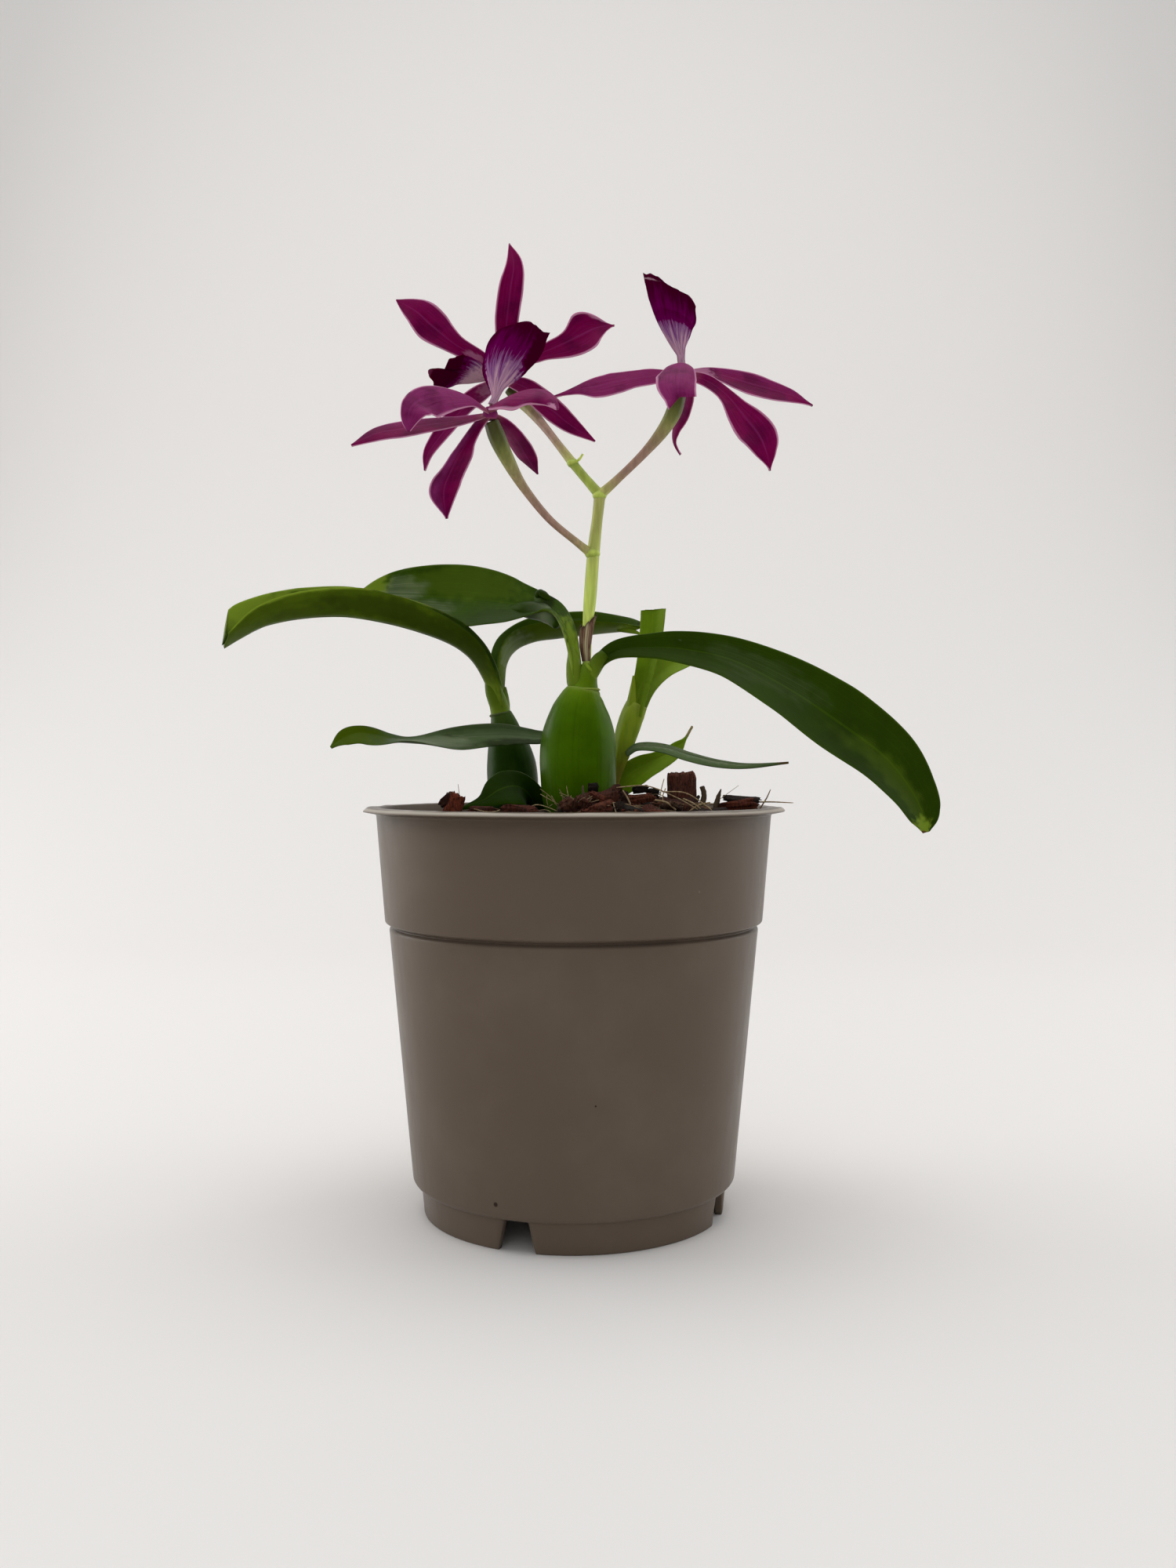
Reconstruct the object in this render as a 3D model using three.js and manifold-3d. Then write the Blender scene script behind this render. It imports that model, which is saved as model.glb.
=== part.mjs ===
// A potted orchid in bloom: a taupe nursery pot, a bed of bark, two pseudobulbs and a young shoot
// with ten leaves, and a flower stem with three blooms. Millimetres, +Z up. The origin is on the
// pot's axis at the level it stands on. The plant's front faces -Y.
import * as THREE from "three";
import Module from "manifold-3d";
import { mergeVertices } from "three/addons/utils/BufferGeometryUtils.js";

const wasm = await Module();
wasm.setup();

// Driving dimensions
const GAP = 0.3; // clearance between pieces that touch
const SLIVER = 0.02; // how far a face may move where a join leaves out needless edges
const WELD = 1e-3; // corners closer than this are one corner
const POT = {
  height: 114.6,
  rimRadius: 60,
  rimThickness: 1.3,
  collarTopRadius: 56.2,
  collarFootRadius: 53.7,
  collarFootZ: 82.4,
  grooveRadius: 51.8,
  grooveZ: 81.4,
  bodyTopRadius: 52.5,
  bodyTopZ: 80.4,
  bodyFootRadius: 45.9,
  bodyFootZ: 10,
  beadRadius: 45.3,
  beadZ: 9.2,
  ringTopRadius: 43.5,
  ringFootRadius: 42.7,
  ringTopZ: 8.7,
  wall: 1.5,
  floorZ: 9.6,
  floorThickness: 2,
  segments: 44,
};
const NOTCH = { count: 4, firstDegrees: -20, topWidth: 6.6, footWidth: 10.4, from: 36, depth: 14 };
const PEG = { count: 8, firstDegrees: -10.5, radius: 0.9, length: 1.1, z: 7.2, sides: 8 };
const DRAIN = { radius: 5, ringRadius: 28, centreRadius: 6, depth: 12, sides: 12 };
const BED = {
  rings: 5,
  sectors: 22,
  seed: 3,
  topZ: 112.4,
  edgeBelow: 4,
  edgeGap: 0.3,
  roughness: 1.6,
  edgeDrop: 0.8,
  foot: 0.3,
};
const HEAP = { x: 14, y: -6, height: 3.2, spread: 30 };
const DIP = { depth: 3.4, from: 22, to: 46 };
const SLOPE = 0.024; // rise of the bark's top towards +X
const CHIPS = {
  count: 38,
  seed: 11,
  outerRadius: 49,
  reach: 47,
  size: [12, 6.5, 3.2],
  smallest: 0.6,
  spread: 0.6,
  roughness: 0.35,
  roll: 1.1,
  pitch: 0.8,
  above: 0.6,
};

const COLOURS = {
  pot: 0x8f8478,
  bark: 0x4a2e22,
  barkRed: 0x6b3524,
  root: 0xb9a47e,
  bulb: 0x5d7f26,
  bulbBack: 0x4d6a2a,
  leaf: 0x2f5a1c,
  leafDark: 0x274a30,
  leafYoung: 0x7f9a3a,
  sheath: 0x8a7a3c,
  papery: 0x6d4a35,
  stem: 0x9aa63a,
  tepal: 0x7c1450,
  lip: 0x4a0c3c,
  column: 0xc79ab0,
};

// A generator of numbers from 0 to 1 that repeats for a seed.
function seeded(seed) {
  let state = seed >>> 0;
  return () => {
    state = (state + 0x6d2b79f5) >>> 0;
    let mixed = Math.imul(state ^ (state >>> 15), 1 | state);
    mixed = (mixed + Math.imul(mixed ^ (mixed >>> 7), 61 | mixed)) ^ mixed;
    return ((mixed ^ (mixed >>> 14)) >>> 0) / 4294967296;
  };
}

const radians = THREE.MathUtils.degToRad;

// Joining and cutting

// A geometry with nothing but corners, each of them kept once.
function welded(geometry) {
  const bare = geometry.index ? geometry.toNonIndexed() : geometry;
  const shell = new THREE.BufferGeometry();
  shell.setAttribute("position", bare.getAttribute("position"));
  return mergeVertices(shell, WELD);
}

function solidOf(geometry) {
  const merged = welded(geometry);
  const vertProperties = new Float32Array(merged.attributes.position.array);
  const triVerts = new Uint32Array(merged.index.array);
  const made = new wasm.Manifold(new wasm.Mesh({ numProp: 3, vertProperties, triVerts }));
  if (made.volume() >= 0) return made;
  for (let i = 0; i < triVerts.length; i += 3) {
    [triVerts[i + 1], triVerts[i + 2]] = [triVerts[i + 2], triVerts[i + 1]];
  }
  return new wasm.Manifold(new wasm.Mesh({ numProp: 3, vertProperties, triVerts }));
}

// The largest closed shell of a solid without its needless edges. Loose scraps are dropped.
function mainShell(solid) {
  const bodies = solid.simplify(SLIVER).decompose();
  return bodies.reduce((best, body) => (body.volume() > best.volume() ? body : best));
}

function geometryOf(solid) {
  const mesh = solid.getMesh();
  const stride = mesh.numProp;
  const position = new Float32Array(mesh.numVert * 3);
  for (let i = 0; i < mesh.numVert; i++) {
    position.set(mesh.vertProperties.subarray(i * stride, i * stride + 3), i * 3);
  }
  const geometry = new THREE.BufferGeometry();
  geometry.setAttribute("position", new THREE.BufferAttribute(position, 3));
  geometry.setIndex(new THREE.BufferAttribute(new Uint32Array(mesh.triVerts), 1));
  return geometry;
}

function joined(solids) {
  return mainShell(solids.reduce((sum, solid) => sum.add(solid)));
}

// Curves and value lists

const vector = (p) => new THREE.Vector3(p[0], p[1], p[2]);

function curveThrough(points) {
  return new THREE.CatmullRomCurve3(points.map(vector), false, "catmullrom", 0.5);
}

// The value at a share t of the way along a list of evenly spread values, joined by straight lines.
function along(values, t) {
  const place = t * (values.length - 1);
  const i = Math.min(Math.floor(place), values.length - 2);
  const f = place - i;
  return values[i] + (values[i + 1] - values[i]) * f;
}

function alongVectors(vectors, t) {
  return new THREE.Vector3(...[0, 1, 2].map((axis) => along(vectors.map((v) => v[axis]), t)));
}

// A closed surface from a grid of rows of points, each row a ring, with a point at each end.
function closedTube(rings, first, last) {
  const around = rings[0].length;
  const points = [first, ...rings.flat(), last];
  const end = points.length - 1;
  const at = (i, j) => 1 + i * around + (j % around);
  const index = [];
  for (let j = 0; j < around; j++) {
    index.push(0, at(0, j + 1), at(0, j));
    index.push(end, at(rings.length - 1, j), at(rings.length - 1, j + 1));
  }
  for (let i = 0; i < rings.length - 1; i++) {
    for (let j = 0; j < around; j++) {
      index.push(at(i, j), at(i, j + 1), at(i + 1, j));
      index.push(at(i + 1, j), at(i, j + 1), at(i + 1, j + 1));
    }
  }
  const geometry = new THREE.BufferGeometry();
  const array = new Float32Array(points.flatMap((p) => [p.x, p.y, p.z]));
  geometry.setAttribute("position", new THREE.BufferAttribute(array, 3));
  geometry.setIndex(index);
  return geometry;
}

// A rod along a path. Each station is x, y, z and radius, grown widens it all over, and ends says
// how far its tips stand out, as a share of the radius.
function rod({ stations, steps, sides, grown = 0, ends = 0.35 }) {
  const curve = curveThrough(stations);
  const rings = [];
  let side = null;
  for (let i = 0; i <= steps; i++) {
    const t = i / steps;
    const centre = curve.getPoint(t);
    const tangent = curve.getTangent(t);
    if (!side) {
      side = new THREE.Vector3(0, -1, 0).cross(tangent);
      if (side.length() < 0.2) side = new THREE.Vector3(1, 0, 0).cross(tangent);
    }
    side.sub(tangent.clone().multiplyScalar(side.dot(tangent))).normalize();
    const other = tangent.clone().cross(side);
    const radius = along(stations.map((s) => s[3]), t) + grown;
    rings.push(
      Array.from({ length: sides }, (_, j) => {
        const angle = (2 * Math.PI * j) / sides;
        return centre
          .clone()
          .addScaledVector(side, radius * Math.cos(angle))
          .addScaledVector(other, radius * Math.sin(angle));
      }),
    );
  }
  const start = curve.getPoint(0);
  const finish = curve.getPoint(1);
  start.addScaledVector(curve.getTangent(0), -ends * (stations[0][3] + grown) - grown);
  finish.addScaledVector(curve.getTangent(1), ends * (stations.at(-1)[3] + grown) + grown);
  return closedTube(rings, start, finish);
}

// A leaf, sepal, petal or lip: a thin closed solid along a path. Each station is x, y, z and half
// the width. face lists directions that its upper side looks in, fold lifts the two halves like a
// V, bend curls them like a gutter (both in degrees), skew shears the tip, and wave ripples the
// margins. Both faces are split into triangles alike.
function blade(shape, grown = 0) {
  const { stations, face, fold = [0, 0], bend = [0, 0], thickness = 1.2, rows = 14 } = shape;
  const { columns = 4, skew = 0, wave = 0, waves = 3, phase = 0 } = shape;
  const curve = curveThrough(stations);
  const middle = [];
  for (let i = 0; i <= rows; i++) {
    const t = i / rows;
    const centre = curve.getPoint(t);
    const tangent = curve.getTangent(t);
    const side = tangent.clone().cross(alongVectors(face, t)).normalize();
    const normal = side.clone().cross(tangent);
    const half = along(stations.map((s) => s[3]), t) + grown;
    if (i === 0) centre.addScaledVector(tangent, -grown);
    if (i === rows) centre.addScaledVector(tangent, grown);
    const lift = radians(along(fold, t));
    const curl = radians(along(bend, t));
    middle.push(
      Array.from({ length: columns + 1 }, (_, j) => {
        const v = -1 + (2 * j) / columns;
        const angle = lift + curl * Math.abs(v) * 0.5;
        const ripple = wave * v * v * Math.sin(2 * Math.PI * waves * t + phase + v);
        return centre
          .clone()
          .addScaledVector(side, half * v * Math.cos(angle))
          .addScaledVector(normal, half * (Math.abs(v) * Math.sin(angle) + ripple))
          .addScaledVector(tangent, skew * v * t * t);
      }),
    );
  }
  const offset = (i, j, sign) => {
    const [up, down] = [middle[Math.min(i + 1, rows)][j], middle[Math.max(i - 1, 0)][j]];
    const [right, left] = [middle[i][Math.min(j + 1, columns)], middle[i][Math.max(j - 1, 0)]];
    const normal = right.clone().sub(left).cross(up.clone().sub(down)).normalize();
    const v = -1 + (2 * j) / columns;
    const half = (thickness * (1 - 0.3 * v * v)) / 2 + grown;
    return middle[i][j].clone().addScaledVector(normal, sign * half);
  };
  const points = [];
  const across = columns + 1;
  for (const sign of [1, -1]) {
    for (let i = 0; i <= rows; i++) {
      for (let j = 0; j <= columns; j++) points.push(offset(i, j, sign));
    }
  }
  const at = (layer, i, j) => layer * across * (rows + 1) + i * across + j;
  const index = [];
  for (let i = 0; i < rows; i++) {
    for (let j = 0; j < columns; j++) {
      const flip = j >= columns / 2;
      for (const layer of [0, 1]) {
        const [a, b] = [at(layer, i, j), at(layer, i, j + 1)];
        const [c, d] = [at(layer, i + 1, j), at(layer, i + 1, j + 1)];
        const split = flip ? [a, b, d, a, d, c] : [a, b, c, b, d, c];
        index.push(...(layer ? split.reverse() : split));
      }
    }
    for (const [j, turn] of [[0, false], [columns, true]]) {
      const [a, b, c, d] = [at(0, i, j), at(1, i, j), at(0, i + 1, j), at(1, i + 1, j)];
      const wall = [a, c, b, b, c, d];
      index.push(...(turn ? wall.reverse() : wall));
    }
  }
  for (let j = 0; j < columns; j++) {
    for (const [i, turn] of [[0, true], [rows, false]]) {
      const [a, b, c, d] = [at(0, i, j), at(1, i, j), at(0, i, j + 1), at(1, i, j + 1)];
      const wall = [a, c, b, b, c, d];
      index.push(...(turn ? wall.reverse() : wall));
    }
  }
  const geometry = new THREE.BufferGeometry();
  const array = new Float32Array(points.flatMap((p) => [p.x, p.y, p.z]));
  geometry.setAttribute("position", new THREE.BufferAttribute(array, 3));
  geometry.setIndex(index);
  return geometry;
}

// The scene graph

const plant = new THREE.Group();

function addPiece(name, geometry, color, roughness = 0.5) {
  const material = new THREE.MeshStandardMaterial({ color, roughness, metalness: 0 });
  const mesh = new THREE.Mesh(geometry, material);
  mesh.name = name;
  plant.add(mesh);
}

// Pot

const POT_INSIDE = [
  [POT.bodyFootRadius - POT.wall, POT.floorZ + POT.floorThickness],
  [POT.bodyTopRadius - POT.wall - 0.6, POT.bodyTopZ - 1],
  [POT.grooveRadius - POT.wall + 0.1, POT.collarFootZ],
  [POT.collarFootRadius - POT.wall, POT.collarFootZ + 3],
  [POT.collarTopRadius - POT.wall, POT.height - 3],
];

function turned(profile, segments) {
  const points = profile.map(([radius, z]) => new THREE.Vector2(radius, z));
  const lathe = new THREE.LatheGeometry(points, segments);
  return lathe.rotateX(Math.PI / 2);
}

// A four-sided bar that stands along +X: a trapezoid carried outwards through the base ring.
function notchCutter() {
  const [top, foot] = [NOTCH.topWidth / 2, NOTCH.footWidth / 2];
  const outline = new THREE.Shape([
    new THREE.Vector2(-foot, -1),
    new THREE.Vector2(foot, -1),
    new THREE.Vector2(top, POT.ringTopZ),
    new THREE.Vector2(-top, POT.ringTopZ),
  ]);
  const bar = new THREE.ExtrudeGeometry(outline, { depth: NOTCH.depth, bevelEnabled: false });
  const outwards = new THREE.Matrix4();
  outwards.set(0, 0, 1, NOTCH.from, 1, 0, 0, 0, 0, 1, 0, 0, 0, 0, 0, 1);
  return bar.applyMatrix4(outwards);
}

// Turns a piece that lies along +X to an azimuth counted from the front, towards +X.
function atAzimuth(geometry, degrees) {
  return geometry.clone().rotateZ(radians(degrees - 90));
}

// A drain hole's cutter: a plug through the floor.
function drainCutter(radius, distance) {
  const plug = new THREE.CylinderGeometry(radius, radius, DRAIN.depth, DRAIN.sides);
  return plug.rotateX(Math.PI / 2).translate(distance, 0, POT.floorZ);
}

function potSolid() {
  const profile = [
    [0, POT.floorZ],
    [POT.ringFootRadius - POT.wall, POT.floorZ],
    [POT.ringFootRadius - POT.wall - 0.4, 0],
    [POT.ringFootRadius, 0],
    [POT.ringTopRadius, POT.ringTopZ],
    [POT.beadRadius - 0.6, POT.ringTopZ + 0.1],
    [POT.beadRadius, POT.beadZ],
    [POT.bodyFootRadius, POT.bodyFootZ],
    [POT.bodyTopRadius, POT.bodyTopZ],
    [POT.grooveRadius, POT.grooveZ],
    [POT.collarFootRadius, POT.collarFootZ],
    [POT.collarTopRadius, POT.height - POT.rimThickness - 0.5],
    [POT.rimRadius - 0.3, POT.height - POT.rimThickness],
    [POT.rimRadius, POT.height - 0.4],
    [POT.rimRadius - 0.5, POT.height],
    [POT.collarTopRadius - POT.wall + 0.5, POT.height],
    ...POT_INSIDE.toReversed(),
    [0, POT.floorZ + POT.floorThickness],
  ];
  let solid = solidOf(turned(profile, POT.segments));
  for (let i = 0; i < PEG.count; i++) {
    const peg = new THREE.CylinderGeometry(PEG.radius, PEG.radius, PEG.length + 1, PEG.sides);
    peg.rotateZ(Math.PI / 2).translate(POT.ringTopRadius + (PEG.length - 1) / 2, 0, PEG.z);
    solid = solid.add(solidOf(atAzimuth(peg, PEG.firstDegrees + (360 / PEG.count) * i)));
  }
  for (let i = 0; i < NOTCH.count; i++) {
    const degrees = NOTCH.firstDegrees + (360 / NOTCH.count) * i;
    solid = solid.subtract(solidOf(atAzimuth(notchCutter(), degrees)));
    const drain = drainCutter(DRAIN.radius, DRAIN.ringRadius);
    solid = solid.subtract(solidOf(atAzimuth(drain, degrees)));
  }
  return mainShell(solid.subtract(solidOf(drainCutter(DRAIN.centreRadius, 0))));
}

addPiece("pot", geometryOf(potSolid()), COLOURS.pot, 0.45);

// Pseudobulbs, rhizome and roots

const RHIZOME_Z = 104.5;
const FRONT_BULB = {
  stations: [
    [1.6, -9.4, 108, 4.5],
    [1.6, -9.5, 111.5, 8.2],
    [1.5, -9.6, 115.6, 9.9],
    [1.4, -9.8, 122, 10.5],
    [1.3, -10, 128.6, 10.7],
    [1.5, -10, 135.4, 10.1],
    [1.8, -10, 141.3, 8.2],
    [2.3, -10, 145.3, 6.1],
    [2.8, -10, 147.6, 4.1],
  ],
  steps: 14,
  sides: 16,
  ends: 0.05,
};
const BACK_BULB = {
  stations: [
    [-17.8, 15, 107.3, 4],
    [-18, 15, 113, 6.8],
    [-18.2, 15, 119, 7.5],
    [-18.6, 15, 126, 7.4],
    [-19.6, 15, 132, 6.2],
    [-20.8, 15, 138, 4.3],
    [-21.9, 15, 142.2, 3],
  ],
  steps: 11,
  sides: 14,
  ends: 0.1,
};
const RHIZOME = {
  stations: [
    [-20, 16, RHIZOME_Z + 0.3, 2.2],
    [-12, 11, RHIZOME_Z - 1, 2.5],
    [-6, 3, RHIZOME_Z, 2.3],
    [1, -8, RHIZOME_Z + 0.7, 2.6],
    [3, -12, RHIZOME_Z + 0.6, 2.4],
  ],
  steps: 9,
  sides: 7,
};
const RHIZOME_BRANCH = {
  stations: [
    [-6, 3, RHIZOME_Z, 2],
    [2, 4.6, RHIZOME_Z, 2.2],
    [9.6, 9.3, RHIZOME_Z + 1.4, 2.2],
  ],
  steps: 5,
  sides: 7,
};
const ROOTS = {
  count: 5,
  seed: 5,
  radius: 1.3,
  length: 62,
  reach: 30,
  inwards: 0.25,
  wobble: 3,
  shares: [0, 0.2, 0.45, 0.7, 1],
  steps: 5,
  sides: 5,
};

// Roots that leave the rhizome, spread outwards and run down into the bark.
function rootSolids(grown) {
  const random = seeded(ROOTS.seed);
  const spine = curveThrough(RHIZOME.stations);
  return Array.from({ length: ROOTS.count }, (_, i) => {
    const start = spine.getPoint((i + 0.5) / ROOTS.count);
    const heading = (2 * Math.PI * (i * 3 + random())) / ROOTS.count;
    const stations = ROOTS.shares.map((share, k) => {
      const out = ROOTS.reach * Math.sqrt(share) * (0.8 + 0.3 * random());
      const drawn = 1 - ROOTS.inwards * share;
      const wobble = ROOTS.wobble * Math.sin(k * 2.1 + i);
      const x = (start.x + out * Math.cos(heading)) * drawn + wobble;
      const y = (start.y + out * Math.sin(heading)) * drawn - wobble;
      return [k ? x : start.x, k ? y : start.y, start.z - ROOTS.length * share, ROOTS.radius];
    });
    return solidOf(rod({ stations, steps: ROOTS.steps, sides: ROOTS.sides, grown }));
  });
}

function rhizomeSolid(grown = 0) {
  const stems = [RHIZOME, RHIZOME_BRANCH].map((stem) => solidOf(rod({ ...stem, grown })));
  return joined([...stems, ...rootSolids(grown)]);
}

addPiece("rhizome_roots", geometryOf(rhizomeSolid()), COLOURS.root, 0.8);
addPiece("pseudobulb_front", rod(FRONT_BULB), COLOURS.bulb, 0.35);
addPiece("pseudobulb_back_left", rod(BACK_BULB), COLOURS.bulbBack, 0.4);

// Leaves

const LEAVES = {
  leaf_right_front: {
    stations: [
      [4.5, -11, 148.1, 1.1],
      [6.8, -11, 154.2, 2],
      [12.2, -11, 158.2, 3.1],
      [21.7, -12, 159, 4.1],
      [30.8, -14, 158.2, 5.3],
      [43.5, -17, 155, 6.8],
      [57.6, -21, 147.4, 9.1],
      [70.8, -24, 138.2, 10.6],
      [83.2, -26, 128.6, 9.7],
      [90.6, -27, 119, 7.2],
      [93.6, -27, 112.6, 5],
      [94.6, -27, 108.4, 1.6],
    ],
    face: [
      [-0.3, -0.9, 0.2],
      [0, -0.95, 0.3],
      [0.1, -0.92, 0.36],
      [0.2, -0.9, 0.3],
    ],
    fold: [30, 14, 8, 6],
    bend: [10, 20, 25, 30],
    thickness: 1.4,
    rows: 20,
  },
  leaf_left_front: {
    stations: [
      [-22.8, 13.9, 142.9, 1.5],
      [-25, 12, 151, 3.2],
      [-29, 10, 158.2, 5],
      [-35.6, 7, 162.6, 7],
      [-45.6, 3, 165.6, 8.4],
      [-55.6, -1, 167.9, 9],
      [-65, -5, 168.9, 9],
      [-76, -8, 168.1, 8.8],
      [-85.2, -10, 166.1, 8],
      [-91.4, -11, 163, 7],
      [-97.4, -12, 159.2, 4.4],
    ],
    face: [
      [0.95, -0.2, 0.3],
      [0.6, -0.25, 0.7],
      [0.15, -0.1, 1],
      [0, -0.3, 0.95],
      [-0.1, -0.5, 0.85],
    ],
    fold: [62, 58, 56, 54, 44],
    bend: [0, 10, 14, 14, 10],
    thickness: 1.4,
    rows: 18,
  },
  leaf_upper_left: {
    stations: [
      [0.2, -9.8, 148.6, 1.3],
      [-0.4, -9.2, 154.2, 1.8],
      [-1.5, -7.4, 160, 2],
      [-3.2, -3.6, 166, 2.2],
      [-5.6, 1, 170.6, 2.4],
      [-9.8, 5, 172.9, 4],
      [-18, 10, 174.4, 6.8],
      [-26.2, 14, 176, 8.2],
      [-35.9, 18, 177.2, 8.8],
      [-50.5, 22, 178.2, 7.9],
      [-59.1, 24, 178.7, 6],
      [-67.8, 26, 179, 1.6],
    ],
    face: [
      [0.7, -0.7, 0.1],
      [0.5, -0.8, 0.3],
      [0.1, -0.95, 0.35],
      [0, -0.95, 0.3],
      [0, -0.95, 0.3],
    ],
    fold: [42, 34, 12, 8, 8],
    bend: [20, 20, 16, 20, 24],
    thickness: 1.3,
    rows: 20,
  },
  leaf_back_arching: {
    stations: [
      [-21.5, 16.9, 142.8, 1.1],
      [-21.4, 19.5, 151.5, 3],
      [-20.9, 22, 157.4, 4.8],
      [-18.2, 25, 161.9, 6.4],
      [-12.8, 27, 164.6, 7.4],
      [-4.9, 28, 165.8, 7.8],
      [5.3, 28, 167, 7.2],
      [14.9, 28, 168, 4.6],
      [20.6, 27, 168.4, 1.2],
    ],
    face: [
      [-0.9, -0.2, 0.3],
      [-0.6, -0.3, 0.7],
      [0, -0.4, 0.9],
      [0, -0.4, 0.9],
    ],
    fold: [58, 52, 46, 30],
    bend: [0, 12, 16, 10],
    thickness: 1.3,
    rows: 15,
  },
  leaf_shoot_upright: {
    stations: [
      [18.7, 8.6, 146.8, 1.5],
      [20.4, 9.4, 152.7, 2.5],
      [22, 10.4, 160.2, 3.1],
      [22.9, 11.2, 166.4, 3.3],
      [23.3, 12, 172.3, 3.3],
    ],
    face: [
      [-0.6, -0.8, 0],
      [-0.4, -0.9, 0],
    ],
    fold: [30, 14],
    bend: [20, 20],
    thickness: 1.1,
    rows: 7,
  },
  leaf_shoot_folded: {
    stations: [
      [18.7, 11.8, 144.8, 1.5],
      [22.8, 13, 149.8, 2.6],
      [27.2, 14, 153.6, 3.5],
      [32, 15, 156.6, 4],
      [37, 16, 158.4, 3.8],
      [41.6, 17, 158.8, 1.8],
    ],
    face: [
      [-0.6, -0.7, 0.4],
      [-0.2, -0.7, 0.7],
    ],
    fold: [34, 20],
    bend: [16, 20],
    thickness: 1.1,
    rows: 9,
  },
  leaf_right_narrow: {
    stations: [
      [15.4, 7.1, 129.6, 1],
      [18.8, 6, 131.6, 1.5],
      [26, 5, 131.4, 1.9],
      [33.5, 3, 129.3, 2],
      [41.7, 1, 127.3, 1.8],
      [50.1, -1, 126.4, 1.3],
      [59.4, -3, 127.2, 0.6],
    ],
    face: [
      [0, -0.8, 0.6],
      [0.1, -0.85, 0.5],
    ],
    fold: [16, 10],
    bend: [10, 10],
    thickness: 0.9,
    rows: 11,
  },
  leaf_right_short: {
    stations: [
      [8.6, 14.6, 114, 1.6],
      [12.6, 14.6, 120.4, 4.4],
      [18, 15, 125, 5.2],
      [24, 15.6, 128.2, 4.4],
      [29.4, 17, 131, 3],
      [33, 18, 134, 1.4],
      [35.4, 19, 138.2, 0.7],
    ],
    face: [
      [0.5, -0.8, 0.3],
      [0.2, -0.9, 0.4],
    ],
    fold: [24, 10],
    bend: [24, 16],
    thickness: 1,
    rows: 10,
  },
  leaf_left_dark: {
    stations: [
      [3.4, 4.8, 107.2, 1.2],
      [3.3, 4.8, 116, 1.5],
      [1.6, 4.9, 126, 1.8],
      [-4, 4.2, 133, 2.2],
      [-11.7, 1, 134, 3.2],
      [-20.4, -4, 134.6, 4],
      [-33.3, -9, 133.8, 3.8],
      [-43.8, -13, 133, 1.7],
      [-50.7, -15, 133.8, 1.5],
      [-58, -17, 135.2, 2.1],
      [-62.6, -18, 134, 2.3],
      [-66.4, -18, 131.2, 0.8],
    ],
    face: [
      [-0.9, -0.3, 0],
      [-0.6, -0.4, 0.5],
      [-0.1, -0.75, 0.7],
      [0, -0.8, 0.5],
      [0, -0.3, 0.95],
      [-0.2, -0.9, 0.4],
      [-0.3, -0.9, 0.4],
    ],
    fold: [30, 16, 10, 10, 14, 14],
    bend: [10, 10],
    thickness: 1,
    rows: 22,
  },
  leaf_low_left: {
    stations: [
      [-7.6, 1.4, 107, 1.4],
      [-10.2, -0.6, 113, 2.6],
      [-12.6, -5.4, 117.8, 4.2],
      [-16.2, -10.2, 119.8, 5.2],
      [-20.6, -13.6, 119.4, 5],
      [-25.4, -16, 117.6, 3.4],
      [-30.2, -17, 115.8, 0.8],
    ],
    face: [
      [-0.4, -0.8, 0.3],
      [-0.1, -0.85, 0.5],
      [-0.1, -0.7, 0.7],
    ],
    fold: [30, 12, 6],
    bend: [10, 16, 20],
    thickness: 1.2,
    rows: 11,
  },
};
const LEAF_COLOURS = {
  leaf_shoot_upright: COLOURS.leafYoung,
  leaf_shoot_folded: COLOURS.leafYoung,
  leaf_right_short: COLOURS.leafYoung,
  leaf_right_narrow: COLOURS.leafDark,
  leaf_left_dark: COLOURS.leafDark,
};
for (const [name, shape] of Object.entries(LEAVES)) {
  addPiece(name, blade(shape), LEAF_COLOURS[name] ?? COLOURS.leaf, 0.4);
}

// Young shoot: a closed bract round the leaf bases, drawn out to a point on its left

const SHOOT = {
  stations: [
    [9.6, 9.6, 108.4, 1.6],
    [10.4, 9.8, 116.5, 1.7],
    [12.2, 9.8, 124.4, 1.5],
    [13.8, 9.8, 129.7, 2],
    [15.6, 10, 135.5, 3],
    [17.2, 10.1, 141, 3],
    [18.2, 10.2, 144.4, 1.4],
  ],
  steps: 12,
  sides: 10,
  ends: 0.02,
};
const BRACT_TIP = {
  stations: [
    [15, 9.2, 138.5, 2.2],
    [16.3, 7.9, 143.9, 1.8],
    [17, 7.7, 149, 1.2],
    [17.4, 7.8, 152.6, 0.6],
  ],
  face: [
    [0.5, 0.85, 0],
    [0.5, 0.85, 0],
  ],
  fold: [20, 30],
  thickness: 0.9,
  rows: 5,
  columns: 2,
};
addPiece(
  "shoot_sheath",
  geometryOf(joined([solidOf(rod(SHOOT)), solidOf(blade(BRACT_TIP))])),
  COLOURS.sheath,
);

// Flower stem, its dry bract, pedicels and ovaries

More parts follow.
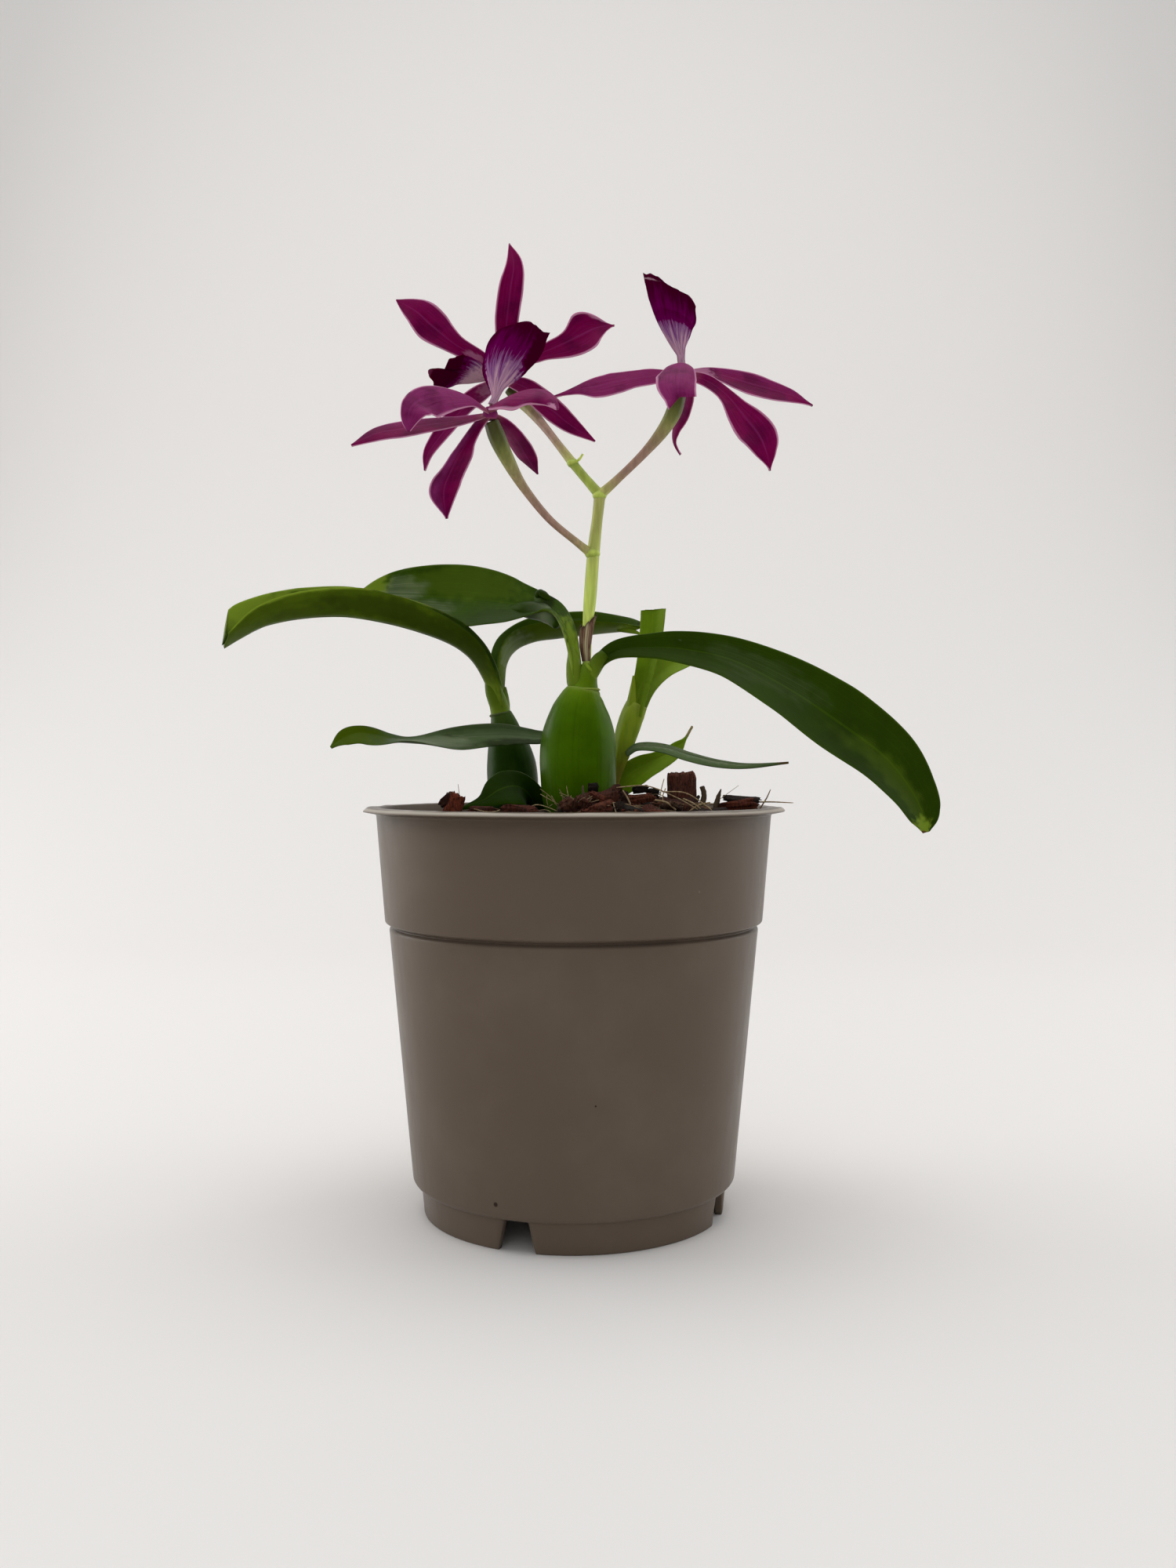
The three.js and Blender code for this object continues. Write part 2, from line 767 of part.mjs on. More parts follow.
const FORK = [7.4, -7, 202.4];
const STEM = {
  stations: [
    [3.6, -8.2, 148.3, 1.1],
    [3.7, -7.6, 156.8, 1.2],
    [3.9, -7.4, 165.2, 1.35],
    [4.6, -7.6, 173, 1.75],
    [5.6, -8, 186.2, 1.7],
    [6.7, -7.4, 196, 1.5],
    [...FORK, 1.6],
  ],
  steps: 13,
  sides: 8,
};
const PEDICELS = {
  left: [
    [5.2, -8, 185.6, 1.3],
    [0.8, -11, 188.6, 1],
    [-6.7, -17, 194, 1],
    [-13.4, -22, 201.6, 1.2],
    [-17.4, -26, 208, 1.8],
    [-20, -29, 213.2, 2.2],
    [-21.6, -30.2, 216.9, 1.9],
  ],
  rachis: [
    [...FORK, 1.5],
    [3.4, -5.4, 207.3, 1.3],
    [-0.4, -3.6, 212.2, 1.3],
  ],
  back: [
    [-0.2, -3.7, 212, 1.3],
    [-4.5, -1.4, 218, 1.1],
    [-8.6, 3.4, 224.2, 1.2],
    [-12.6, 8.6, 230, 1.6],
    [-16.6, 12.6, 235, 2],
    [-19.4, 11.9, 237.4, 1.6],
  ],
  right: [
    [...FORK, 1.4],
    [12.8, -9, 206.9, 1.1],
    [19.4, -11, 213, 1.2],
    [24.7, -13, 218.9, 1.7],
    [28, -15, 224.6, 2.1],
    [29.5, -15.9, 231.9, 1.8],
  ],
};
const NODES = [
  [5.3, -8.1, 185.8, 2.3],
  [7.3, -7, 202.2, 2.1],
  [-0.3, -3.7, 212.1, 1.8],
];
const NODE_BRACT = {
  stations: [
    [0.2, -4, 212.2, 1],
    [1.6, -4.6, 213, 0.8],
    [2.6, -5, 214.4, 0.5],
  ],
  face: [
    [-0.4, 0, 1],
    [-0.4, 0, 1],
  ],
  thickness: 0.7,
  rows: 3,
  columns: 2,
};

function spikeSolid() {
  const parts = [solidOf(rod(STEM))];
  for (const [name, stations] of Object.entries(PEDICELS)) {
    const steps = name === "rachis" ? 3 : 8;
    parts.push(solidOf(rod({ stations, steps, sides: 7, ends: 0.1 })));
  }
  for (const [x, y, z, radius] of NODES) {
    const knob = new THREE.SphereGeometry(radius, 7, 5).scale(1, 1, 0.75).translate(x, y, z);
    parts.push(solidOf(knob));
  }
  parts.push(solidOf(blade(NODE_BRACT)));
  return joined(parts);
}

addPiece("flower_spike", geometryOf(spikeSolid()), COLOURS.stem, 0.4);

// The dry bract is a thin tube round the foot of the stem, clear of it by the gap
const DRY_BRACT_WALL = 0.65;
const DRY_BRACT = {
  stations: [
    [3.7, -7.65, 155.6, 2.05],
    [3.75, -7.5, 160.5, 2.15],
    [3.9, -7.4, 165.2, 2.3],
    [4.15, -7.45, 168.4, 2.45],
  ],
  steps: 5,
  sides: 10,
  ends: 0,
};

function dryBractSolid() {
  const stations = DRY_BRACT.stations.map(([x, y, z, r]) => [x, y, z, r - DRY_BRACT_WALL]);
  const bore = { ...DRY_BRACT, stations, ends: 4 };
  const outer = solidOf(rod(DRY_BRACT));
  return mainShell(outer.subtract(solidOf(rod(bore))));
}

addPiece("spike_sheath", geometryOf(dryBractSolid()), COLOURS.papery, 0.8);

// Blooms: each has five tepals joined at a hub on the ovary, a lip and a column

const TEPAL = { thickness: 0.8, rows: 8, columns: 4 };
const BLOOMS = {
  bloom_left: {
    hub: [-21.8, -30.2, 219.4, 2.2],
    tepals: [
      {
        stations: [
          [-22.4, -30.2, 219, 1.2],
          [-27.1, -31, 217.4, 2.3],
          [-32.5, -33, 215.8, 3.2],
          [-42.9, -34, 214.2, 4.2],
          [-50.6, -35, 212.8, 3.6],
          [-57.6, -36, 209.6, 0.7],
        ],
        face: [
          [0, -0.6, 0.8],
          [0, -0.65, 0.75],
        ],
        bend: [40, 40],
      },
      {
        stations: [
          [-22.2, -30.8, 219.6, 1.2],
          [-26.6, -37, 221, 2.5],
          [-33, -44, 220.2, 4.9],
          [-38.4, -48.5, 217.8, 5.7],
          [-41, -51, 214.4, 4.2],
          [-40.6, -52, 209.9, 0.7],
        ],
        face: [
          [0, -0.6, 0.8],
          [-0.2, -0.85, 0.6],
          [-0.5, -0.8, 0.4],
        ],
        bend: [20, 30],
      },
      {
        stations: [
          [-21.4, -30.8, 219.6, 1.2],
          [-17.4, -36, 221, 2.5],
          [-12.5, -42, 220.8, 4.7],
          [-7.9, -47, 219.6, 5.3],
          [-5, -50, 217.4, 3.8],
          [-3.6, -52, 214.8, 0.7],
        ],
        face: [
          [0.2, -0.6, 0.8],
          [0.3, -0.8, 0.6],
          [0.5, -0.8, 0.4],
        ],
        bend: [20, 30],
      },
      {
        stations: [
          [-21.4, -29.6, 219, 1.2],
          [-17.6, -24.6, 217, 3],
          [-14.8, -18, 214.6, 4.5],
          [-12.4, -12, 211.6, 4.2],
          [-10.1, -7, 208.4, 0.7],
        ],
        face: [
          [0.3, 0.7, 0.6],
          [0.4, 0.75, 0.5],
        ],
        bend: [30, 30],
      },
      {
        stations: [
          [-22.4, -30.4, 218.6, 1.2],
          [-25.2, -31.6, 215, 2.3],
          [-28.4, -33, 209.7, 3.6],
          [-31.2, -36, 203.7, 4.7],
          [-33.2, -38, 197.2, 4.5],
          [-32.5, -39, 190.1, 0.7],
        ],
        face: [
          [-0.2, -0.9, 0.3],
          [-0.3, -0.95, 0.1],
          [-0.1, -1, 0],
        ],
        bend: [50, 40],
      },
    ],
    lip: {
      stations: [
        [-21.4, -31, 221.7, 1],
        [-20.5, -28.8, 224.8, 1.3],
        [-20.1, -26, 229.4, 3.6],
        [-18.7, -21.8, 236.8, 8.2],
        [-16, -17.6, 243.6, 9.6],
        [-13.6, -14.6, 248.6, 8.8],
      ],
      face: [
        [0.1, 0.9, 0.2],
        [0.1, 0.9, -0.3],
      ],
      bend: [40, 90, 70],
      skew: -3,
      wave: 0.07,
    },
    column: {
      stations: [
        [-21.4, -28.9, 221.6, 0.9],
        [-20.4, -25.4, 225.6, 1],
        [-19.4, -21.9, 229.8, 1.4],
        [-18.6, -18.6, 232.8, 1.7],
      ],
    },
  },
  bloom_back: {
    hub: [-20.8, 9.4, 239.4, 2.2],
    tepals: [
      {
        stations: [
          [-20.8, 8.6, 240, 1.2],
          [-19.7, 6, 248.8, 3.3],
          [-19.4, 4, 254.8, 3.9],
          [-18.4, 3, 263.8, 4.3],
          [-17.8, 4, 270.9, 3.3],
          [-18.8, 7, 278, 0.7],
        ],
        face: [
          [0, -1, 0.1],
          [0, -1, 0.1],
        ],
        bend: [30, 30],
      },
      {
        stations: [
          [-21.4, 8.6, 239.8, 1.2],
          [-26.7, 5, 244, 2.2],
          [-34, 3, 247.4, 3.1],
          [-40.6, 3, 252.7, 5.4],
          [-45.6, 4, 257.3, 4.4],
          [-51.6, 7, 261.7, 0.7],
        ],
        face: [
          [0, -1, 0.2],
          [0, -1, 0.1],
        ],
        bend: [20, 20],
        wave: 0.08,
      },
      {
        stations: [
          [-20.2, 8.6, 239.8, 1.2],
          [-14.7, 6, 243.6, 2.1],
          [-9.6, 5, 245.6, 2.8],
          [-4.4, 5, 247.9, 4.7],
          [1.5, 6, 250.9, 6.2],
          [6.4, 8, 253.8, 4.4],
          [11.7, 11, 255.7, 0.7],
        ],
        face: [
          [0, -1, 0.2],
          [0.1, -1, 0.2],
        ],
        bend: [20, 30],
        wave: 0.06,
      },
      {
        stations: [
          [-20.2, 8.6, 238.8, 1.2],
          [-14.2, 6, 236, 2.9],
          [-7.8, 5, 230.4, 3.7],
          [-1.6, 6.4, 225.6, 3],
          [6.1, 10, 221.5, 0.6],
        ],
        face: [
          [0, -1, 0.2],
          [0.1, -1, 0.2],
        ],
        bend: [30, 30],
      },
      {
        stations: [
          [-21.4, 8.6, 238.8, 1.2],
          [-26, 6, 234.8, 2.9],
          [-31.4, 5, 230.2, 3.3],
          [-36.6, 5.4, 224.4, 3.1],
          [-42, 7, 217.6, 2],
          [-43.8, 9, 212.7, 0.6],
        ],
        face: [
          [-0.3, -1, 0.1],
          [-0.4, -0.9, 0.1],
        ],
        bend: [40, 40],
      },
    ],
    lip: {
      stations: [
        [-22.9, 6.5, 238.9, 1],
        [-24.6, 4.2, 238, 1.6],
        [-27.6, 0.6, 236.3, 3.8],
        [-31, -3.2, 235.3, 5.3],
        [-34.8, -6.6, 234.9, 6],
        [-38.2, -9, 234.8, 5],
      ],
      face: [
        [0.2, 0.5, 0.9],
        [0, 0.8, 0.7],
      ],
      bend: [40, 90, 70],
      wave: 0.1,
    },
    column: {
      stations: [
        [-22.4, 5.6, 241.8, 0.9],
        [-24.4, 3.4, 242.8, 1],
        [-27, 1.2, 243.6, 1.3],
        [-29.4, -1.2, 244, 1.6],
      ],
    },
  },
  bloom_right: {
    hub: [29.6, -16.1, 234, 2.2],
    tepals: [
      {
        stations: [
          [29, -16.4, 233.6, 1.2],
          [23, -18, 232.6, 3.1],
          [16.3, -19, 231.4, 3.5],
          [10.9, -20, 230.1, 4],
          [5.3, -20, 229, 3.5],
          [1.1, -20, 228.3, 2.2],
          [-5.6, -19, 226.7, 0.6],
        ],
        face: [
          [0, -0.8, 0.6],
          [0, -0.85, 0.5],
        ],
        bend: [30, 40],
      },
      {
        stations: [
          [30, -15.8, 233.8, 1.2],
          [36.4, -14, 234.6, 2.1],
          [42.2, -12, 234.1, 3.1],
          [48.9, -11, 232.5, 4],
          [55.8, -10, 230.8, 3.4],
          [61.4, -9, 229.4, 2.3],
          [67, -8, 227.4, 0.6],
        ],
        face: [
          [0, -0.8, 0.6],
          [0, -0.85, 0.5],
        ],
        bend: [30, 40],
      },
      {
        stations: [
          [30, -16.6, 233.4, 1.2],
          [36.1, -18, 231.4, 2],
          [41.4, -21, 226.8, 2.6],
          [45.9, -24, 220.4, 4.8],
          [49.9, -26, 214.3, 5.8],
          [51.9, -27, 209.6, 3.7],
          [52.7, -27, 205.2, 0.6],
        ],
        face: [
          [0, -1, 0.3],
          [0.2, -1, 0.2],
        ],
        bend: [20, 20],
        wave: 0.05,
      },
      {
        stations: [
          [29.6, -17, 234, 1.3],
          [29.3, -22, 235, 3.3],
          [28.2, -29, 232.8, 5.2],
          [27, -35, 228.2, 5.8],
          [26, -39, 223.4, 4.8],
          [24.2, -41, 218.2, 0.7],
        ],
        face: [
          [0, -0.2, 1],
          [0, -0.7, 0.7],
          [0, -0.9, 0.4],
        ],
        bend: [40, 20],
      },
      {
        stations: [
          [29.8, -15.4, 233.6, 1.2],
          [32, -8, 231.6, 2.7],
          [31.2, -1, 227, 3.1],
          [29.4, 3.6, 223.2, 2.5],
          [29.2, 6.2, 220.2, 1.4],
          [31, 8, 217.1, 0.6],
        ],
        face: [
          [0.85, 0.4, 0.5],
          [0.95, 0.3, 0.2],
        ],
        bend: [30, 30],
      },
    ],
    lip: {
      stations: [
        [29.8, -17, 236.2, 1],
        [29.5, -16, 239, 1.2],
        [28.3, -14.8, 243.2, 2.8],
        [27, -13, 249.2, 5.4],
        [26.3, -11, 255.8, 7.6],
        [25.8, -9.2, 262.2, 8.4],
      ],
      face: [
        [0.1, 0.9, 0.2],
        [0.2, 0.9, -0.2],
      ],
      bend: [40, 90, 70],
      skew: 7.5,
      wave: 0.08,
    },
    column: {
      stations: [
        [29.7, -15, 236.2, 0.9],
        [29.6, -12.4, 240.2, 1],
        [29.2, -8.8, 244.4, 1.4],
        [28.8, -6.2, 247.4, 1.7],
      ],
    },
  },
};

function tepalSolid({ hub, tepals }) {
  const [x, y, z, radius] = hub;
  const heart = new THREE.SphereGeometry(radius, 8, 5).scale(1, 1, 0.8).translate(x, y, z);
  const blades = tepals.map((tepal) => solidOf(blade({ ...TEPAL, ...tepal })));
  return joined([solidOf(heart), ...blades]);
}

for (const [name, bloom] of Object.entries(BLOOMS)) {
  addPiece(`${name}_tepals`, geometryOf(tepalSolid(bloom)), COLOURS.tepal);
  addPiece(`${name}_lip`, blade({ thickness: 0.9, rows: 9, columns: 6, ...bloom.lip }), COLOURS.lip);
  addPiece(`${name}_column`, rod({ steps: 5, sides: 8, ...bloom.column }), COLOURS.column);
}

// Bark

const CHUNK = {
  centre: [30, -12.4, 116.4],
  size: [8.2, 6, 16.4],
  seed: 8,
  roughness: 0.12,
  turn: 0.25,
  lean: 0.04,
};

// A box whose corners are moved in or out by random shares.
function roughBlock([width, depth, height], random, roughness) {
  const block = welded(new THREE.BoxGeometry(width, depth, height));
  const array = block.attributes.position.array;
  for (let i = 0; i < array.length; i++) array[i] *= 1 + roughness * (random() - 0.5);
  return block;
}

// Height of the bark's top: lower at the left, heaped to the right of the front bulb.
function barkHeight(x, y) {
  const away = Math.hypot(x - HEAP.x, y - HEAP.y) / HEAP.spread;
  const heap = HEAP.height * Math.exp(-(away ** 2));
  const dip = DIP.depth * THREE.MathUtils.smoothstep(-x, DIP.from, DIP.to);
  return BED.topZ + heap + SLOPE * x - dip;
}

// The bed fills the pot's inside, clear of it by the gap, and ends in a rough top.
function bedSolid() {
  const random = seeded(BED.seed);
  const wall = POT_INSIDE.map(([radius, z]) => [radius - GAP, z]);
  wall[0][1] += BED.foot;
  const edge = wall.at(-1)[0] - BED.edgeGap;
  const profile = [...wall.slice(0, -1), [edge, BED.topZ - BED.edgeBelow]];
  const rings = profile.map(([radius, z]) =>
    Array.from({ length: BED.sectors }, (_, j) => {
      const angle = (2 * Math.PI * j) / BED.sectors;
      return new THREE.Vector3(radius * Math.cos(angle), radius * Math.sin(angle), z);
    }),
  );
  for (let i = BED.rings; i >= 1; i--) {
    const radius = (edge * i) / BED.rings;
    rings.push(
      Array.from({ length: BED.sectors }, (_, j) => {
        const angle = (2 * Math.PI * j) / BED.sectors;
        const [x, y] = [radius * Math.cos(angle), radius * Math.sin(angle)];
        const rough = i === BED.rings ? -BED.edgeDrop : BED.roughness * (random() - 0.5);
        return new THREE.Vector3(x, y, barkHeight(x, y) + rough);
      }),
    );
  }
  const foot = new THREE.Vector3(0, 0, wall[0][1]);
  return solidOf(closedTube(rings, foot, new THREE.Vector3(0, 0, barkHeight(0, 0))));
}

// Loose chips of bark, fused to the bed's top.
function chipSolids() {
  const random = seeded(CHIPS.seed);
  return Array.from({ length: CHIPS.count }, () => {
    const radius = CHIPS.outerRadius * Math.sqrt(random());
    const heading = 2 * Math.PI * random();
    const [x, y] = [radius * Math.cos(heading), radius * Math.sin(heading)];
    const grow = CHIPS.smallest + CHIPS.spread * random();
    const size = CHIPS.size.map((side) => side * grow);
    const chip = roughBlock(size, random, CHIPS.roughness);
    chip.rotateX(CHIPS.roll * (random() - 0.5)).rotateY(CHIPS.pitch * (random() - 0.5));
    chip.rotateZ(Math.PI * random());
    const inwards = Math.min(1, CHIPS.reach / (radius + size[0] / 2));
    return solidOf(chip.translate(x * inwards, y * inwards, barkHeight(x, y) + CHIPS.above));
  });
}

function chunkGeometry(grown) {
  const size = CHUNK.size.map((side) => side + 2 * grown);
  const block = roughBlock(size, seeded(CHUNK.seed), CHUNK.roughness);
  return block.rotateZ(CHUNK.turn).rotateY(CHUNK.lean).translate(...CHUNK.centre);
}

// Everything that stands in the bark gets a plain hole, wider than itself by the gap.
function standingSolids() {
  const grown = GAP + 0.1;
  const stems = [FRONT_BULB, BACK_BULB, SHOOT].map((stem) => solidOf(rod({ ...stem, grown })));
  const rooted = ["leaf_left_dark", "leaf_low_left", "leaf_right_short"];
  const leaves = rooted.map((name) => solidOf(blade(LEAVES[name], grown)));
  return [...stems, ...leaves, rhizomeSolid(grown), solidOf(chunkGeometry(grown))];
}

function barkSolid() {
  let bark = joined([bedSolid(), ...chipSolids()]);
  for (const standing of standingSolids()) bark = bark.subtract(standing);
  return mainShell(bark);
}

addPiece("bark_bed", geometryOf(barkSolid()), COLOURS.bark, 0.9);
addPiece("bark_chunk_upright", chunkGeometry(0), COLOURS.barkRed, 0.9);

export default plant;
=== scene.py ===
"""Looks of a potted orchid in bloom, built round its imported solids.

The frame's solids give the places. Each is replaced by a finer surface of the same shape: leaves and
petals are strips along a curve, bulbs and stems are tubes, the pot is a turned profile. Lengths in
the size fields are millimetres, +Z is up and the plant's front faces -Y.
"""

import logging
import math
from dataclasses import dataclass, field
from enum import Enum
from typing import ClassVar

import bpy
import numpy as np
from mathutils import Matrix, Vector

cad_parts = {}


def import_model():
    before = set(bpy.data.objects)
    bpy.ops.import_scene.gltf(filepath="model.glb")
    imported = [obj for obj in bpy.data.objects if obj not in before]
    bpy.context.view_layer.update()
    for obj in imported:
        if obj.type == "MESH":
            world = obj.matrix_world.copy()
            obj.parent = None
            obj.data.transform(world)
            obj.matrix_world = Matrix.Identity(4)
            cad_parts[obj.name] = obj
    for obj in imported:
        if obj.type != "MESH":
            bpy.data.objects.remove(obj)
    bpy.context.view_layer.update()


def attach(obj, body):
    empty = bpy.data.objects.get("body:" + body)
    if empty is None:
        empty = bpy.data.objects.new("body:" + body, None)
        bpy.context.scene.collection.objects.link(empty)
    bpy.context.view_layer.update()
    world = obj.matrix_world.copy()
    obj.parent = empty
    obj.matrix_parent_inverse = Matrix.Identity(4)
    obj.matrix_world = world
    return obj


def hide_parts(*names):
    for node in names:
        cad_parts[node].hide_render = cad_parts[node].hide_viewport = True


LOG = logging.getLogger("orchid")
MM = 0.001
NUDGE = 0.002
BODY = "root"
# one kind of mark is partly a painted sheen on the leaves
MARKS = ("pale", "dry", "straw", "deep", "dusty", "olive")

Point = tuple[float, float, float]
Station = tuple[float, float, float, float]
Colour = tuple[float, float, float]
Socket = bpy.types.NodeSocket
Input = Socket | float | Colour
Wash = tuple[Colour, Input, float, float, float]


class Slot(Enum):
    """Material slots."""

    POT = "pot_plastic"
    BARK = "bark"
    BARK_RED = "bark_red"
    ROOT = "root"
    BULB = "bulb_skin"
    BULB_DARK = "bulb_skin_dark"
    SHEATH = "sheath_green"
    LEAF = "leaf"
    LEAF_DARK = "leaf_dark"
    LEAF_YOUNG = "leaf_young"
    PAPERY = "papery_bract"
    STEM = "flower_stem"
    TEPAL = "tepal"
    LIP = "lip"
    COLUMN = "column"


def srgb(red: float, green: float, blue: float) -> Colour:
    """Turns a colour as screens show it, 0 to 255, into the linear values of a shader."""
    share = np.array([red, green, blue]) / 255
    linear = np.where(share <= 0.04045, share / 12.92, ((share + 0.055) / 1.055) ** 2.4)
    return tuple(float(part) for part in linear)


# Arrays and noise


def unit(vectors: np.ndarray) -> np.ndarray:
    """Returns the vectors of the last axis at length one."""
    return vectors / np.maximum(np.linalg.norm(vectors, axis=-1, keepdims=True), 1e-9)


def through(values: np.ndarray | tuple, t: np.ndarray) -> np.ndarray:
    """Reads a smooth curve through evenly spread values (Catmull-Rom), straight beyond its ends.

    Args:
        values: One row per value, each a number or a list of numbers.
        t: Shares of the way along, of any shape.

    Returns:
        The curve's values, with the shape of t and one more axis if the rows are lists.
    """
    rows = np.asarray(values, float)
    flat = rows.ndim == 1
    rows = rows[:, None] if flat else rows
    spans = len(rows) - 1
    padded = np.vstack([2 * rows[0] - rows[1], rows, 2 * rows[-1] - rows[-2]])
    held = np.clip(t, 0, 1)
    place = held * spans
    i = np.minimum(place.astype(int), spans - 1)
    f = (place - i)[..., None]
    a, b, c, d = (padded[i + k] for k in range(4))
    curve = b + 0.5 * f * (c - a + f * (2 * a - 5 * b + 4 * c - d + f * (3 * (b - c) + d - a)))
    beyond = (np.asarray(t) - held)[..., None] * spans
    curve = curve + beyond * np.where(beyond > 0, rows[-1] - rows[-2], rows[1] - rows[0])
    return curve[..., 0] if flat else curve


def trace(stations: tuple[Station, ...], t: np.ndarray) -> tuple[np.ndarray, np.ndarray, np.ndarray]:
    """Follows a curve of stations.

    Args:
        stations: Rows of x, y, z and a size, such as a radius.
        t: Shares of the way along, of any shape.

    Returns:
        The curve's points, its directions and its sizes there.
    """
    rows = np.array(stations)
    path = rows[:, :3]
    ahead, behind = through(path, t + NUDGE), through(path, t - NUDGE)
    return through(path, t), unit(ahead - behind), through(rows[:, 3], t)


def even_line(x: np.ndarray, y: np.ndarray, z: np.ndarray, size: float) -> tuple[Station, ...]:
    """Returns stations of one size from the coordinates of their points."""
    return tuple((*point, size) for point in np.stack([x, y, z], -1).tolist())


def knob(place: Station, reach: float, radii: Point) -> tuple[Station, ...]:
    """Returns the stations of an upright knob.

    Args:
        place: Its centre and its radius.
        reach: How far it reaches up and down, as a share of the radius.
        radii: Its radii at its foot, centre and top, as shares of the radius.

    Returns:
        Three stations.
    """
    x, y, z, radius = place
    steps = zip((-1, 0, 1), radii)
    return tuple((x, y, z + radius * reach * step, radius * share) for step, share in steps)


def circle(count: int) -> tuple[np.ndarray, np.ndarray]:
    """Returns angles spread evenly round a circle, and the unit circle's points there."""
    angle = np.linspace(0, 2 * np.pi, count, endpoint=False)
    return angle, np.stack([np.cos(angle), np.sin(angle)], -1)


def squared(points: np.ndarray, power: float) -> np.ndarray:
    """Pushes the points of a unit circle out towards a square; a lower power squares them more."""
    return np.sign(points) * np.abs(points) ** power


def smooth(low: float, high: float, value: np.ndarray) -> np.ndarray:
    """Returns 0 below low, 1 above high and a soft step between them."""
    share = np.clip((value - low) / (high - low), 0, 1)
    return share * share * (3 - 2 * share)


def hashed(cells: np.ndarray, seed: int) -> np.ndarray:
    """Returns a repeatable random value from 0 to 1 for each whole-number cell (x, y, z)."""
    mixed = cells.astype(np.int64) @ np.array([374761393, 668265263, 1103515245]) + seed * 974711
    mixed = (mixed ^ (mixed >> 13)) * 1274126177 & 0xFFFFFFFF
    return ((mixed ^ (mixed >> 16)) & 0xFFFF) / 65535


def noise(points: np.ndarray, seed: int = 0, octaves: int = 3) -> np.ndarray:
    """Value noise from -1 to 1: random values at whole-number cells, blended, in halving octaves.

    Args:
        points: Places, with x, y and z on the last axis.
        seed: Another seed gives another noise.
        octaves: How many sizes of detail are added up.

    Returns:
        One value per place.
    """
    total = np.zeros(points.shape[:-1])
    for octave in range(octaves):
        scaled = points * 2**octave + 17.3 * octave
        cell = np.floor(scaled)
        share = scaled - cell
        share = share * share * (3 - 2 * share)
        for corner in np.ndindex(2, 2, 2):
            weight = np.prod(np.where(corner, share, 1 - share), axis=-1)
            total += weight * (hashed(cell + corner, seed + octave) * 2 - 1) / 2**octave
    return total / (2 - 0.5 ** (octaves - 1))


def noise_at(x: np.ndarray, y: np.ndarray, z: np.ndarray, seed: int, octaves: int) -> np.ndarray:
    """Returns the noise at places given by their coordinates, whose shapes may differ."""
    return noise(np.stack(np.broadcast_arrays(x, y, z), -1), seed, octaves)


# Surfaces in the making


@dataclass
class Shell:
    """Corners, faces and values per corner of a surface, before it becomes a mesh."""

    points: np.ndarray
    quads: np.ndarray
    triangles: np.ndarray
    values: dict[str, np.ndarray] = field(default_factory=dict)

    def outward(self) -> "Shell":
        """Turns the faces of a closed surface outwards."""
        split = np.vstack([self.quads[:, [0, 1, 2]], self.quads[:, [0, 2, 3]], self.triangles])
        a, b, c = (self.points[split[:, k]] for k in range(3))
        if np.einsum("ij,ij->", a, np.cross(b, c)) < 0:
            self.quads = self.quads[:, ::-1]
            self.triangles = self.triangles[:, ::-1]
        return self


def merged(shells: list[Shell]) -> Shell:
    """Joins surfaces into one; a value that a surface doesn't have is 0 on it."""
    starts = np.cumsum([0] + [len(shell.points) for shell in shells])
    names = sorted({name for shell in shells for name in shell.values})
    return Shell(
        np.vstack([shell.points for shell in shells]),
        np.vstack([shell.quads + start for shell, start in zip(shells, starts)]),
        np.vstack([shell.triangles + start for shell, start in zip(shells, starts)]),
        {
            name: np.concatenate(
                [shell.values.get(name, np.zeros(len(shell.points))) for shell in shells]
            )
            for name in names
        },
    )


def tube(rings: np.ndarray, values: dict[str, np.ndarray], closed: bool = True) -> Shell:
    """Makes a surface from rows of points that each run round in a ring.

    Args:
        rings: Points, rows by places round the ring by x, y, z.
        values: Values per point, rows by places round the ring.
        closed: Whether a fan of triangles closes both ends.

    Returns:
        The surface, closed and turned outwards if asked.
    """
    rows, around, _ = rings.shape
    i, j = np.meshgrid(np.arange(rows - 1), np.arange(around), indexing="ij")
    after = (j + 1) % around
    quads = np.stack(
        [i * around + j, i * around + after, (i + 1) * around + after, (i + 1) * around + j], -1
    ).reshape(-1, 4)
    points = rings.reshape(-1, 3)
    flat = {name: np.asarray(value).reshape(-1) for name, value in values.items()}
    if not closed:
        return Shell(points, quads, np.zeros((0, 3), int), flat)
    ends = np.vstack([rings[0].mean(0), rings[-1].mean(0)])
    first = len(points)
    j = np.arange(around)
    after = (j + 1) % around
    last_row = (rows - 1) * around
    caps = np.vstack(
        [
            np.stack([np.full(around, first), after, j], -1),
            np.stack([np.full(around, first + 1), last_row + j, last_row + after], -1),
        ]
    )
    for name, value in values.items():
        flat[name] = np.concatenate([flat[name], [value[0].mean(), value[-1].mean()]])
    return Shell(np.vstack([points, ends]), quads, caps, flat).outward()


@dataclass(frozen=True)
class Mark:
    """A spot on a blade: one of MARKS, its place along (t) and across (v), its reach and strength."""

    kind: str
    t: float
    v: float
    long: float
    wide: float
    amount: float = 1.0


def painted(marks: tuple[Mark, ...], t: np.ndarray, v: np.ndarray) -> dict[str, np.ndarray]:
    """Returns, per kind of mark, how strongly each point is covered by marks of that kind."""
    values = {kind: np.zeros(t.shape) for kind in MARKS}
    wander = 0.35 * noise_at(t * 60, v * 6, 0, 5, 2)
    for mark in marks:
        away = np.hypot((t - mark.t) / mark.long, (v - mark.v) / mark.wide) + wander
        cover = mark.amount * (1 - smooth(0.55, 1.1, away))
        values[mark.kind] = np.maximum(values[mark.kind], cover)
    return values


